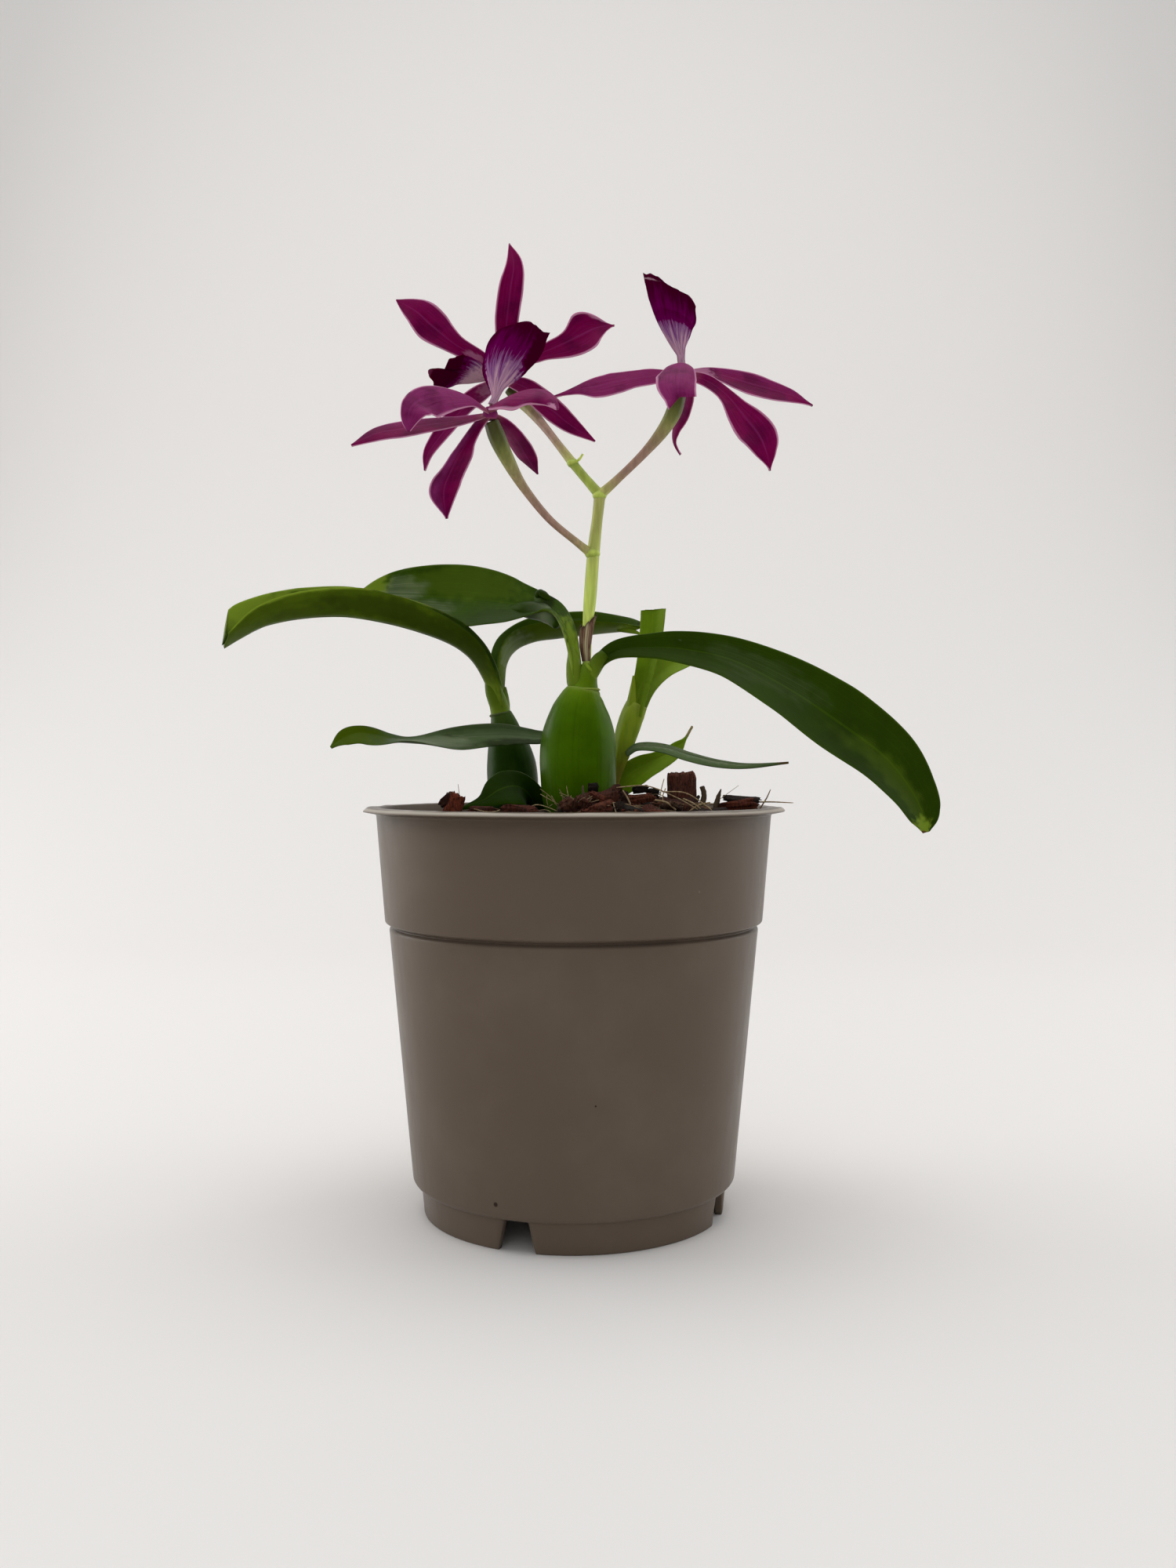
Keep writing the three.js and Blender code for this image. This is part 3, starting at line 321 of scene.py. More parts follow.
@dataclass(frozen=True)
class Blade:
    """A leaf, petal or lip: a thin strip along a curve.

    stations are x, y, z and half the width. face lists directions that its upper side looks in.
    fold lifts the two halves like a V and bend curls them like a gutter, in degrees. reach says how
    far each line from one margin to the other runs, and ruffle makes those ends uneven. shares widen
    the two halves. skew shears the tip and wave ripples the margins. tone, mauve and marks colour it.
    """

    stations: tuple[Station, ...]
    face: tuple[Point, ...]
    fold: tuple[float, ...] = (0, 0)
    bend: tuple[float, ...] = (0, 0)
    thickness: float = 1.2
    reach: tuple[float, ...] = (1, 1)
    skew: float = 0.0
    wave: tuple[float, ...] = (0, 0)
    waves: float = 3.0
    phase: float = 0.0
    shares: tuple[tuple[float, ...], tuple[float, ...]] = ((1, 1), (1, 1))
    uneven: float = 0.12
    tone: float = 0.0
    ruffle: float = 0.0
    mauve: tuple[float, ...] = (0, 0)
    rows: int = 120
    columns: int = 26
    seed: int = 1
    marks: tuple[Mark, ...] = ()
    KEEL: ClassVar[float] = 0.02
    EDGE_NOISE: ClassVar[float] = 0.025

    def middle(self, s: np.ndarray, v: np.ndarray) -> tuple[np.ndarray, np.ndarray]:
        """Finds points on the strip's middle surface.

        The point is the curve's point, moved sideways by the half width times v, turned by the fold
        and curl angles, and moved along the curve by the skew.

        Args:
            s: Shares of the way from the foot to the tip of each line.
            v: Places across, -1 to 1.

        Returns:
            The points, and their shares t of the way along the curve.
        """
        teeth = noise_at(v * 9, self.seed, 0, self.seed, 3)
        t = s * (through(self.reach, (v + 1) / 2) + self.ruffle * teeth)
        centre, tangent, half = trace(self.stations, t)
        side = unit(np.cross(tangent, through(self.face, t)))
        normal = np.cross(side, tangent)
        across = np.sqrt(v * v + self.KEEL**2) - self.KEEL * (1 - np.abs(v))
        below, above = (through(share, t) for share in self.shares)
        half = half * np.where(v < 0, below, above)
        edge = noise_at(t * 14, np.sign(v), 0, self.seed, 2)
        half = half * (1 + self.EDGE_NOISE * edge)
        angle = np.radians(through(self.fold, t) + through(self.bend, t) * across * 0.5)
        ripple = through(self.wave, t) * v * v * np.sin(2 * np.pi * self.waves * t + self.phase + v)
        lift = half * (across * np.sin(angle) + ripple)
        lift = lift + self.uneven * noise_at(t * 9, v * 1.3, 0, self.seed + 3, 3)
        moved = centre + side * (half * v * np.cos(angle))[..., None] + normal * lift[..., None]
        return moved + tangent * (self.skew * v * t * t)[..., None], t

    def shell(self) -> Shell:
        """Makes the closed surface: both sides of the middle surface, thinner at the margins."""
        u = np.linspace(-1, 1, self.columns + 1)
        v_line = 0.45 * u + 0.55 * np.sin(np.pi / 2 * u)
        s_line = np.linspace(0, 1, self.rows + 1)
        s, v = np.meshgrid(s_line, v_line, indexing="ij")
        middle, t = self.middle(s, v)
        normal = unit(np.cross(np.gradient(middle, axis=1), np.gradient(middle, axis=0)))
        thick = self.thickness / 2 * np.sqrt(1 - np.abs(v) ** 5) * (1 - 0.35 * v * v)
        offset = normal * thick[..., None]
        back = slice(-2, 0, -1)
        rings = np.concatenate([middle + offset, (middle - offset)[:, back]], axis=1)
        marks = painted(self.marks, t, v)
        mauve = np.clip(through(self.mauve, (v + 1) / 2), 0, 1)
        values = {"along": t, "across": v, "mauve": mauve, "tone": np.full_like(t, self.tone), **marks}
        values = {name: np.concatenate([a, a[:, back]], axis=1) for name, a in values.items()}
        upper = np.concatenate([np.ones_like(v), np.zeros_like(v[:, back])], axis=1)
        upper[:, 0] = upper[:, self.columns] = 0.5
        return tube(rings, {**values, "upper": upper})


@dataclass(frozen=True)
class Rod:
    """A stem, bulb or root: a tube along a curve.

    stations are x, y, z and radius. ribs and rough are shares of the radius, dome is how far the
    ends are rounded off, and tints are values that change along the tube.
    """

    stations: tuple[Station, ...]
    rows: int = 80
    around: int = 24
    ribs: float = 0.0
    rib_count: int = 6
    rough: float = 0.0
    seed: int = 1
    dome: float = 0.3
    tints: dict[str, tuple[float, ...]] = field(default_factory=dict)
    END: ClassVar[float] = 0.012

    def shell(self) -> Shell:
        """Makes the closed tube: rings of points round the curve, with ribs and rough noise."""
        s = np.linspace(0, 1, self.rows + 1)
        centre, tangent, radius = trace(self.stations, s)
        front = np.where(np.abs(tangent[:, 1:2]) > 0.9, (1.0, 0, 0), (0, -1.0, 0))
        side = unit(np.cross(front, tangent))
        other = np.cross(tangent, side)
        ends = np.sqrt(np.clip(1 - (1 - np.minimum(s, 1 - s) / self.END), 0, 1))
        radius = radius * (1 - self.dome * (1 - ends))
        angle, section = circle(self.around)
        rings = np.repeat(section[None], len(s), 0)
        place = np.concatenate([rings * 1.6, np.repeat(s[:, None, None] * 9, self.around, 1)], -1)
        swell = 1 + self.ribs * np.cos(self.rib_count * angle) + self.rough * noise(place, self.seed)
        out = (radius[:, None] * swell)[..., None] * rings
        points = centre[:, None] + side[:, None] * out[..., :1] + other[:, None] * out[..., 1:]
        grid = np.ones_like(swell)
        lines = {"along": s, "across": 0.4 + 0 * s}
        lines.update({name: through(tint, s) for name, tint in self.tints.items()})
        values = {name: line[:, None] * grid for name, line in lines.items()}
        return tube(points, {**values, "around": angle / (2 * np.pi) * grid, "upper": grid})


def between(first: tuple[float, float], last: tuple[float, float], shares: tuple[float, ...]) -> list:
    """Returns the points of a straight line at shares of the way from its first point to its last."""
    return [tuple(a + (b - a) * share for a, b in zip(first, last)) for share in shares]


def spread(radius: float, count: int, first: float) -> list[tuple[float, float]]:
    """Returns places spread evenly round the pot; first is degrees from the front, towards +X."""
    turns = np.radians(first - 90 + 360 / count * np.arange(count))
    return [(radius * math.cos(turn), radius * math.sin(turn)) for turn in turns]


def rounded(profile: list[tuple[float, float]], radius: float) -> np.ndarray:
    """Rounds the corners of an open outline with short curves.

    Args:
        profile: Corners of the outline.
        radius: How far from a corner its curve starts, where the sides are long enough.

    Returns:
        The outline's points.
    """
    corners = np.array(profile)
    before = corners[:-2] - corners[1:-1]
    after = corners[2:] - corners[1:-1]
    reach = [np.linalg.norm(side, axis=1, keepdims=True) for side in (before, after)]
    start = corners[1:-1] + before / reach[0] * np.minimum(radius, reach[0] * 0.42)
    finish = corners[1:-1] + after / reach[1] * np.minimum(radius, reach[1] * 0.42)
    f = np.linspace(0, 1, 4)[None, :, None]
    curve = (1 - f) ** 2 * start[:, None] + 2 * f * (1 - f) * corners[1:-1, None]
    curve = curve + f**2 * finish[:, None]
    return np.vstack([corners[:1], curve.reshape(-1, 2), corners[-1:]])


# Shading


class Shader:
    """Builds one material's nodes. Numbers, colours and sockets can be mixed freely as inputs."""

    def __init__(self, name: str) -> None:
        self.material = bpy.data.materials.new(name)
        self.material.use_nodes = True
        self.tree = self.material.node_tree
        self.principled = self.tree.nodes["Principled BSDF"]

    def feed(self, socket: Socket, value: Input) -> None:
        """Links a socket into an input, or sets the input to a number or a colour."""
        if isinstance(value, bpy.types.NodeSocket):
            self.tree.links.new(value, socket)
        elif isinstance(value, tuple) and len(socket.default_value) == 4:
            socket.default_value = (*value, 1.0)
        else:
            socket.default_value = value

    def add(self, kind: str, inputs: dict | None = None, **settings) -> bpy.types.Node:
        """Adds a node of a kind, sets its settings and feeds its inputs."""
        node = self.tree.nodes.new(kind)
        for name, value in settings.items():
            setattr(node, name, value)
        for name, value in (inputs or {}).items():
            self.feed(node.inputs[name], value)
        return node

    def attribute(self, name: str) -> Socket:
        """Returns a value that the surface carries at its corners."""
        return self.add("ShaderNodeAttribute", attribute_name=name).outputs["Fac"]

    def place(self) -> Socket:
        """Returns the object's own coordinates, in metres."""
        return self.add("ShaderNodeTexCoord").outputs["Object"]

    def vector(self, x: Input, y: Input, z: Input = 0.0) -> Socket:
        """Returns a vector of three values."""
        return self.add("ShaderNodeCombineXYZ", {"X": x, "Y": y, "Z": z}).outputs[0]

    def calc(self, operation: str, a: Input, b: Input = 0.0) -> Socket:
        """Returns the result of a calculation with two values."""
        return self.add("ShaderNodeMath", {0: a, 1: b}, operation=operation).outputs[0]

    def stretched(self, vector: Socket, scale: Point) -> Socket:
        """Returns the vector with each of its parts scaled."""
        node = self.add("ShaderNodeVectorMath", {0: vector}, operation="MULTIPLY")
        node.inputs[1].default_value = scale
        return node.outputs[0]

    def noise(self, place: Socket, scale: float, detail: float = 3.0, roughness: float = 0.55) -> Socket:
        """Returns cloudy noise from about 0 to 1."""
        inputs = {"Vector": place, "Scale": scale, "Detail": detail, "Roughness": roughness}
        return self.add("ShaderNodeTexNoise", inputs).outputs["Fac"]

    def step(
        self, value: Input, low: float, high: float, top: float = 1.0, bottom: float = 0.0
    ) -> Socket:
        """Returns bottom below low, top above high and a soft step between them."""
        inputs = {"Value": value, "From Min": low, "From Max": high, "To Min": bottom, "To Max": top}
        return self.add("ShaderNodeMapRange", inputs, interpolation_type="SMOOTHSTEP").outputs[0]

    def mix(self, share: Input, a: Input, b: Input) -> Socket:
        """Returns colour a where the share is 0 and colour b where it is 1."""
        node = self.add("ShaderNodeMix", {0: share, 6: a, 7: b}, data_type="RGBA")
        return node.outputs[2]

    def washed(self, colour: Input, *washes: Wash) -> Socket:
        """Lays washes over a colour.

        Args:
            colour: The ground.
            washes: Rows of a tint, a value, where the value's step begins and ends, and the amount.

        Returns:
            The colour under all washes.
        """
        for tint, value, low, high, amount in washes:
            colour = self.mix(self.step(value, low, high, amount), colour, tint)
        return colour

    def marked(self, colour: Input, **tints: Colour) -> Socket:
        """Lays each tint over a colour where the surface carries the value of that name."""
        for name, tint in tints.items():
            colour = self.mix(self.attribute(name), colour, tint)
        return colour

    def lengthwise(self, long: float, wide: float) -> Socket:
        """Returns a blade's own coordinates, along and across, scaled for noise that runs along it."""
        scaled = (("along", long), ("across", wide))
        return self.vector(*(self.calc("MULTIPLY", self.attribute(name), k) for name, k in scaled))

    def relief(self, *layers: tuple[Socket, float, float]) -> Socket:
        """Returns a normal that shows layers of relief, each a height, a strength and a distance."""
        normal = None
        for height, strength, distance in layers:
            inputs = {"Height": height, "Strength": strength, "Distance": distance}
            node = self.add("ShaderNodeBump", inputs)
            if normal is not None:
                self.feed(node.inputs["Normal"], normal)
            normal = node.outputs[0]
        return normal

    def shaded(self, colour: Input, factor: Input) -> Socket:
        """Returns a colour made darker or lighter by a factor."""
        inputs = {"Color": colour, "Value": factor}
        return self.add("ShaderNodeHueSaturation", inputs).outputs[0]

    def done(self, **inputs) -> bpy.types.Material:
        """Feeds the surface shader, its inputs named with underscores, and returns the material."""
        for name, value in inputs.items():
            self.feed(self.principled.inputs[name.replace("_", " ")], value)
        return self.material


@dataclass(frozen=True)
class LeafFinish:
    """Colours of a leaf: its upper side, under side and veins, and one for each kind of mark."""

    upper: Colour
    lower: Colour
    vein: Colour
    pale: Colour = srgb(122, 146, 40)
    dry: Colour = srgb(84, 58, 36)
    deep: Colour = srgb(10, 18, 3)
    # colour of pale marks that are partly a painted sheen
    dusty: Colour = srgb(120, 130, 104)
    straw: Colour = srgb(150, 134, 92)
    olive: Colour = srgb(60, 78, 0)
    sheen: Colour = (0.55, 0.8, 0.12)
    vein_count: float = 26.0
    gloss: float = 0.4
    shine: float = 0.2

    def material(self, name: str) -> bpy.types.Material:
        """Builds the material: veins run along the leaf, blotches and marks lie over them."""
        shader = Shader(name)
        beside = shader.calc("ABSOLUTE", shader.attribute("across"))
        streak = shader.noise(shader.lengthwise(1.6, self.vein_count), 1.0, 2.0)
        blotch = shader.noise(shader.place(), 85.0, 4.0)
        fine = shader.noise(shader.place(), 900.0, 2.0)
        colour = shader.mix(shader.attribute("upper"), self.lower, self.upper)
        colour = shader.washed(colour, (self.vein, streak, 0.5, 0.78, 0.45))
        colour = shader.shaded(colour, shader.step(blotch, 0.2, 0.8, 1.3, 0.75))
        colour = shader.shaded(colour, shader.calc("ADD", shader.attribute("tone"), 1.0))
        colour = shader.washed(
            colour, (self.vein, beside, 0.93, 1.0, 0.6), (self.vein, beside, 0.07, 0.0, 0.5)
        )
        colour = shader.marked(colour, olive=self.olive, pale=self.pale, deep=self.deep)
        # pale marks, partly a painted sheen, laid over the streaks
        dust = shader.calc("MULTIPLY", shader.attribute("dusty"), shader.step(streak, 0.3, 0.7, 1, 0.4))
        colour = shader.mix(dust, colour, self.dusty)
        colour = shader.marked(colour, straw=self.straw, dry=self.dry)
        gloss = shader.step(blotch, 0.25, 0.8, self.gloss + 0.14, self.gloss)
        dull = shader.calc("MULTIPLY", shader.attribute("dry"), 0.8)
        return shader.done(
            Base_Color=colour,
            Roughness=shader.calc("MAXIMUM", gloss, dull),
            Normal=shader.relief((streak, 0.16, 0.0004), (fine, 0.07, 0.0002)),
            Specular_IOR_Level=self.shine,
            Specular_Tint=self.sheen,
            Subsurface_Weight=0.04,
            Subsurface_Scale=0.001,
        )


@dataclass(frozen=True)
class TepalFinish:
    """Colours of a sepal or petal: its deep ground, mauve wash, pale margin, foot and veins."""

    ground: Colour = srgb(114, 0, 64)
    # the mauve wash is partly the tepals' paler colour and partly a painted sheen on tepals that face up
    mauve: Colour = srgb(130, 42, 98)
    margin: Colour = srgb(196, 138, 168)
    base: Colour = srgb(150, 90, 100)
    vein: Colour = srgb(70, 0, 44)

    def material(self, name: str) -> bpy.types.Material:
        """Builds the material from the surface's along, across, mauve and mark values."""
        shader = Shader(name)
        lengthwise = shader.lengthwise(2.2, 9.0)
        streak = shader.noise(lengthwise, 1.0, 3.0, 0.6)
        fine = shader.noise(shader.lengthwise(5.0, 30.0), 1.0, 2.0)
        shade = shader.noise(shader.place(), 140.0, 3.0)
        skin = shader.noise(shader.place(), 1500.0, 2.0)
        beside = shader.calc("ABSOLUTE", shader.attribute("across"))
        wander = shader.calc("MULTIPLY", shader.noise(lengthwise, 2.0), 0.12)
        # mauve wash: partly paler colour, partly painted sheen on tepals that face up
        wash = shader.calc("ADD", shader.attribute("mauve"), shader.step(streak, 0.45, 0.8, 0.3))
        colour = shader.washed(
            shader.mix(shader.calc("MINIMUM", wash, 1.0), self.ground, self.mauve),
            (self.vein, fine, 0.5, 0.7, 0.5),
            (self.vein, shade, 0.42, 0.66, 0.6),
            (self.mauve, fine, 0.42, 0.25, 0.3),
            (self.mauve, beside, 0.1, 0.0, 0.4),
            (self.margin, shader.calc("ADD", beside, wander), 0.91, 1.02, 0.9),
            (self.base, shader.attribute("along"), 0.16, 0.02, 0.7),
        )
        return shader.done(
            Base_Color=shader.marked(colour, pale=self.margin, deep=self.vein),
            Roughness=0.5,
            Normal=shader.relief((streak, 0.25, 0.0005), (skin, 0.12, 0.0002)),
            Specular_IOR_Level=0.06,
            Specular_Tint=(0.9, 0.1, 0.5),
            Subsurface_Weight=0.1,
            Subsurface_Scale=0.001,
        )


@dataclass(frozen=True)
class LipFinish:
    """Colours of a lip: its white throat, lilac streaks, purple blade, near-black tip and rim."""

    throat: Colour = srgb(176, 138, 152)
    lilac: Colour = srgb(104, 50, 112)
    purple: Colour = srgb(90, 0, 66)
    tip: Colour = srgb(58, 0, 27)
    rim: Colour = srgb(128, 56, 96)

    def material(self, name: str) -> bpy.types.Material:
        """Builds the material: streaks along the veins break up the edge of the white throat."""
        shader = Shader(name)
        along = shader.attribute("along")
        ray = shader.noise(shader.lengthwise(3.0, 9.0), 1.0, 3.0, 0.6)
        fine = shader.noise(shader.lengthwise(5.0, 26.0), 1.0, 2.0)
        reach = shader.calc("ADD", along, shader.calc("MULTIPLY", ray, 0.5))
        reach = shader.calc("ADD", reach, shader.calc("MULTIPLY", fine, 0.22))
        reach = shader.calc("ADD", reach, shader.attribute("deep"))
        colour = shader.washed(
            self.throat,
            (self.lilac, ray, 0.42, 0.66, 0.75),
            (self.lilac, fine, 0.5, 0.7, 0.4),
            (self.lilac, reach, 0.72, 0.96, 0.8),
            (self.purple, reach, 0.9, 1.02, 1.0),
            (self.tip, reach, 1.02, 1.3, 1.0),
            (self.rim, along, 0.975, 0.999, 0.35),
        )
        return shader.done(
            Base_Color=shader.marked(colour, pale=self.throat),
            Roughness=0.55,
            Normal=shader.relief((ray, 0.4, 0.0006)),
            Specular_IOR_Level=0.0,
            Subsurface_Weight=0.05,
            Subsurface_Scale=0.001,
        )


@dataclass(frozen=True)
class BulbFinish:
    """Colours of a pseudobulb: its foot, its middle, its top, its veins and the scars on it."""

    foot: Colour = srgb(24, 50, 0)
    middle: Colour = srgb(60, 92, 0)
    top: Colour = srgb(86, 116, 2)
    vein: Colour = srgb(36, 66, 0)
    scar: Colour = srgb(124, 142, 58)
    vein_count: float = 11.0

    def material(self, name: str) -> bpy.types.Material:
        """Builds the material: upright veins, lighter towards the top, waxy."""
        shader = Shader(name)
        along = shader.attribute("along")
        angle = shader.calc("MULTIPLY", shader.attribute("around"), 2 * math.pi)
        turned = [shader.calc(part, angle) for part in ("COSINE", "SINE")]
        scaled = zip([*turned, along], (self.vein_count, self.vein_count, 1.2))
        place = shader.vector(*(shader.calc("MULTIPLY", part, scale) for part, scale in scaled))
        streak = shader.noise(place, 1.0, 3.0, 0.6)
        blotch = shader.noise(shader.place(), 120.0, 3.0)
        skin = shader.noise(shader.place(), 1100.0, 2.0)
        colour = shader.washed(
            self.foot,
            (self.middle, along, 0.0, 0.42, 1.0),
            (self.top, along, 0.68, 1.0, 1.0),
            (self.vein, streak, 0.45, 0.75, 0.35),
        )
        colour = shader.shaded(colour, shader.step(blotch, 0.3, 0.75, 1.18, 0.88))
        return shader.done(
            Base_Color=shader.marked(colour, pale=self.scar),
            Roughness=shader.step(blotch, 0.2, 0.9, 0.52, 0.3),
            Normal=shader.relief((streak, 0.12, 0.0005), (skin, 0.06, 0.0002)),
            Specular_IOR_Level=0.12,
            Specular_Tint=(0.5, 0.8, 0.08),
            Subsurface_Weight=0.08,
            Subsurface_Scale=0.002,
        )


@dataclass(frozen=True)
class StemFinish:
    """Colours of the flower stem: green, its brown-pink flush, the olive ovaries and its nodes."""

    # the bright green is partly the stem's colour and partly a painted glow of light shining through it
    green: Colour = srgb(196, 214, 98)
    flush: Colour = srgb(158, 126, 108)
    olive: Colour = srgb(66, 68, 22)
    node: Colour = srgb(126, 142, 44)

    def material(self, name: str) -> bpy.types.Material:
        """Builds the material from the flush, olive and node values along the stem."""
        shader = Shader(name)
        streak = shader.noise(shader.stretched(shader.place(), (900.0, 900.0, 90.0)), 1.0, 3.0)
        colour = shader.marked(self.green, flush=self.flush, olive=self.olive, node=self.node)
        return shader.done(
            Base_Color=shader.shaded(colour, shader.step(streak, 0.2, 0.8, 1.2, 0.8)),
            Roughness=0.45,
            Normal=shader.relief((streak, 0.15, 0.0003)),
            Specular_IOR_Level=0.25,
            Subsurface_Weight=0.1,
            Subsurface_Scale=0.001,
        )


@dataclass(frozen=True)
class BarkFinish:
    """Colours of bark: its dark grooves, its body, worn light patches and the red of fresh breaks."""

    dark: Colour = srgb(16, 10, 6)
    body: Colour = srgb(52, 34, 24)
    light: Colour = srgb(112, 84, 62)
    red: Colour = srgb(112, 48, 26)

    def material(self, name: str) -> bpy.types.Material:
        """Builds the material: each chip's tone value shifts its colour, grain runs through."""
        shader = Shader(name)
        coarse = shader.noise(shader.place(), 260.0, 5.0, 0.65)
        lengthwise = shader.stretched(shader.place(), (2600.0, 700.0, 700.0))
        grain = shader.noise(lengthwise, 1.0, 4.0, 0.6)
        tone = shader.calc("ADD", shader.calc("MULTIPLY", coarse, 0.6), shader.attribute("tone"))
        worn = (self.light, tone, 0.6, 1.0, 0.8)
        colour = shader.washed(self.dark, (self.body, tone, 0.2, 0.55, 1.0), worn)
        colour = shader.marked(colour, red=self.red)
        colour = shader.washed(colour, (self.dark, grain, 0.6, 0.3, 0.85))
        return shader.done(
            Base_Color=colour,
            Roughness=0.9,
            Normal=shader.relief((coarse, 0.8, 0.0015), (grain, 0.8, 0.0008)),
            Specular_IOR_Level=0.2,
        )


@dataclass(frozen=True)
class PlainFinish:
    """A plain finish: its colour, streaks of a second one along z, and its pale and deep marks."""

    colour: Colour
    streak: Colour
    roughness: float = 0.7
    scale: Point = (1400.0, 1400.0, 160.0)
    pale: Colour = srgb(190, 180, 140)
    deep: Colour = srgb(30, 14, 12)

    def material(self, name: str) -> bpy.types.Material:
        """Builds the material: streaked noise between the two colours."""
        shader = Shader(name)
        streak = shader.noise(shader.stretched(shader.place(), self.scale), 1.0, 3.0)
        colour = shader.washed(self.colour, (self.streak, streak, 0.35, 0.7, 1.0))
        return shader.done(
            Base_Color=shader.marked(colour, pale=self.pale, deep=self.deep),
            Roughness=self.roughness,
            Normal=shader.relief((streak, 0.4, 0.0004)),
            Specular_IOR_Level=0.2,
        )


@dataclass(frozen=True)
class PlasticFinish:
    """Satin plastic: its colour, dust, painted shade, a painted highlight on the rim's edge, and specks
    at given places (with radii).
    """

    colour: Colour = srgb(94, 82, 71)
    dust: Colour = srgb(114, 102, 90)
    speck: Colour = srgb(26, 21, 18)
    # painted shade for the groove and under the rim
    grime: Colour = srgb(34, 26, 19)
    # a painted highlight on the rim's rounded top edge
    worn: Colour = srgb(178, 170, 157)
    specks: tuple[Station, ...] = ()

    def material(self, name: str) -> bpy.types.Material:
        """Builds the material: soft clouds of dust, fine scuffs, and each speck as a small disc."""
        shader = Shader(name)
        place = shader.place()
        cloud = shader.noise(place, 28.0, 5.0, 0.6)
        scuff = shader.noise(shader.stretched(place, (240.0, 240.0, 60.0)), 1.0, 6.0, 0.7)
        fine = shader.noise(place, 2400.0, 2.0)
        grit = shader.add("ShaderNodeTexVoronoi", {"Vector": place, "Scale": 130.0})
        spot = shader.step(grit.outputs["Distance"], 0.05, 0.03)
        rare = shader.step(shader.noise(place, 70.0, 1.0), 0.6, 0.64, 0.8)
        colour = shader.washed(
            self.colour, (self.dust, cloud, 0.42, 0.75, 0.3), (self.dust, scuff, 0.66, 0.74, 0.25)
        )
        colour = shader.mix(shader.calc("MULTIPLY", spot, rare), colour, self.dust)
        for x, y, z, radius in self.specks:
            away = shader.add("ShaderNodeVectorMath", {0: place}, operation="DISTANCE")
            away.inputs[1].default_value = (x * MM, y * MM, z * MM)
            near = (self.speck, away.outputs["Value"], radius * MM, radius * MM * 0.5, 0.9)
            colour = shader.washed(colour, near)
        return shader.done(
            # the groove's and rim's painted shade, and the rim edge's painted highlight
            Base_Color=shader.marked(colour, grime=self.grime, worn=self.worn),
            Roughness=shader.step(scuff, 0.3, 0.75, 0.4, 0.3),
            Normal=shader.relief((cloud, 0.06, 0.002), (fine, 0.08, 0.0001)),
            Specular_IOR_Level=0.16,
            Specular_Tint=(1.0, 0.8, 0.6),
        )


# Pieces


def linked(name: str, data: bpy.types.ID, place: Point = (0.0, 0.0, 0.0)) -> bpy.types.Object:
    """Makes an object of its data at a place, and links it to the scene."""
    made = bpy.data.objects.new(name, data)
    made.location = Vector(place) * MM
    bpy.context.scene.collection.objects.link(made)
    return made


def add_piece(
    name: str, shells: list[Shell], material: bpy.types.Material, nodes: list[str]
) -> bpy.types.Object:
    """Makes one object from surfaces, with its corners in metres and the object at the origin.

    Args:
        name: The object's name.
        shells: Its surfaces.
        material: Its finish.
        nodes: The frame's nodes that it stands for.

    Returns:
        The object, riding on the frame's body.
    """
    shell = merged(shells)
    mesh = bpy.data.meshes.new(name)
    corners = np.concatenate([shell.quads.ravel(), shell.triangles.ravel()])
    quads, triangles = len(shell.quads), len(shell.triangles)
    starts = np.concatenate([np.arange(quads) * 4, quads * 4 + np.arange(triangles) * 3])
    mesh.vertices.add(len(shell.points))
    mesh.vertices.foreach_set("co", (shell.points * MM).astype(np.float32).ravel())
    mesh.loops.add(len(corners))
    mesh.loops.foreach_set("vertex_index", corners.astype(np.int32))
    mesh.polygons.add(quads + triangles)
    mesh.polygons.foreach_set("loop_start", starts.astype(np.int32))
    mesh.update(calc_edges=True)
    mesh.shade_smooth()
    for key, value in shell.values.items():
        layer = mesh.attributes.new(key, "FLOAT", "POINT")
        layer.data.foreach_set("value", value.astype(np.float32))
    mesh.materials.append(material)
    piece = linked(name, mesh)
    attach(piece, BODY)
    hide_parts(*nodes)
    LOG.info("%s: %d corners, %d faces", name, len(shell.points), quads + triangles)
    return piece


@dataclass(frozen=True)
class PotSize:
    """Sizes of the nursery pot.

    The fields that end in _from and _to are the radii at which the painted shade, the rim's wave and
    the painted highlight on the rim's edge begin and are full. Those that end in _first are degrees
    from the front, towards +X.
    """

    height: float = 114.6
    rim_radius: float = 60.0
    rim_thickness: float = 1.3
    collar_top: float = 56.2
    collar_foot: float = 53.7
    collar_foot_z: float = 82.4
    groove_radius: float = 51.4
    groove_z: float = 81.4
    body_top: float = 52.5
    body_top_z: float = 80.4
    body_foot: float = 45.9
    body_foot_z: float = 10.0
    bead_radius: float = 45.3
    bead_z: float = 9.2
    ring_top: float = 43.5
    ring_foot: float = 42.7
    ring_top_z: float = 8.7
    wall: float = 1.5
    floor_z: float = 9.6
    floor_thickness: float = 2.0
    notch_count: int = 4
    notch_first: float = -20.0
    notch_top: float = 6.6
    notch_foot: float = 10.4
    peg_count: int = 8
    peg_first: float = -10.5
    peg_radius: float = 0.9
    peg_length: float = 1.1
    peg_z: float = 7.2
    drain_radius: float = 5.0
    drain_ring: float = 28.0
    drain_centre: float = 6.0
    groove_from: float = 48.0
    under_rim_from: float = 55.5
    wave_from: float = 56.0
    wave_to: float = 59.0
    rim_wave: float = 0.35
    rim_lift: float = 0.28
    wall_wave: float = 0.12
    # strengths of the painted shade in the groove and under the rim
    groove_shade: float = 0.62
    under_rim_shade: float = 0.5
    # radii where the rim edge's painted highlight begins and is full
    highlight_from: float = 58.7
    highlight_to: float = 59.5
    around: int = 480


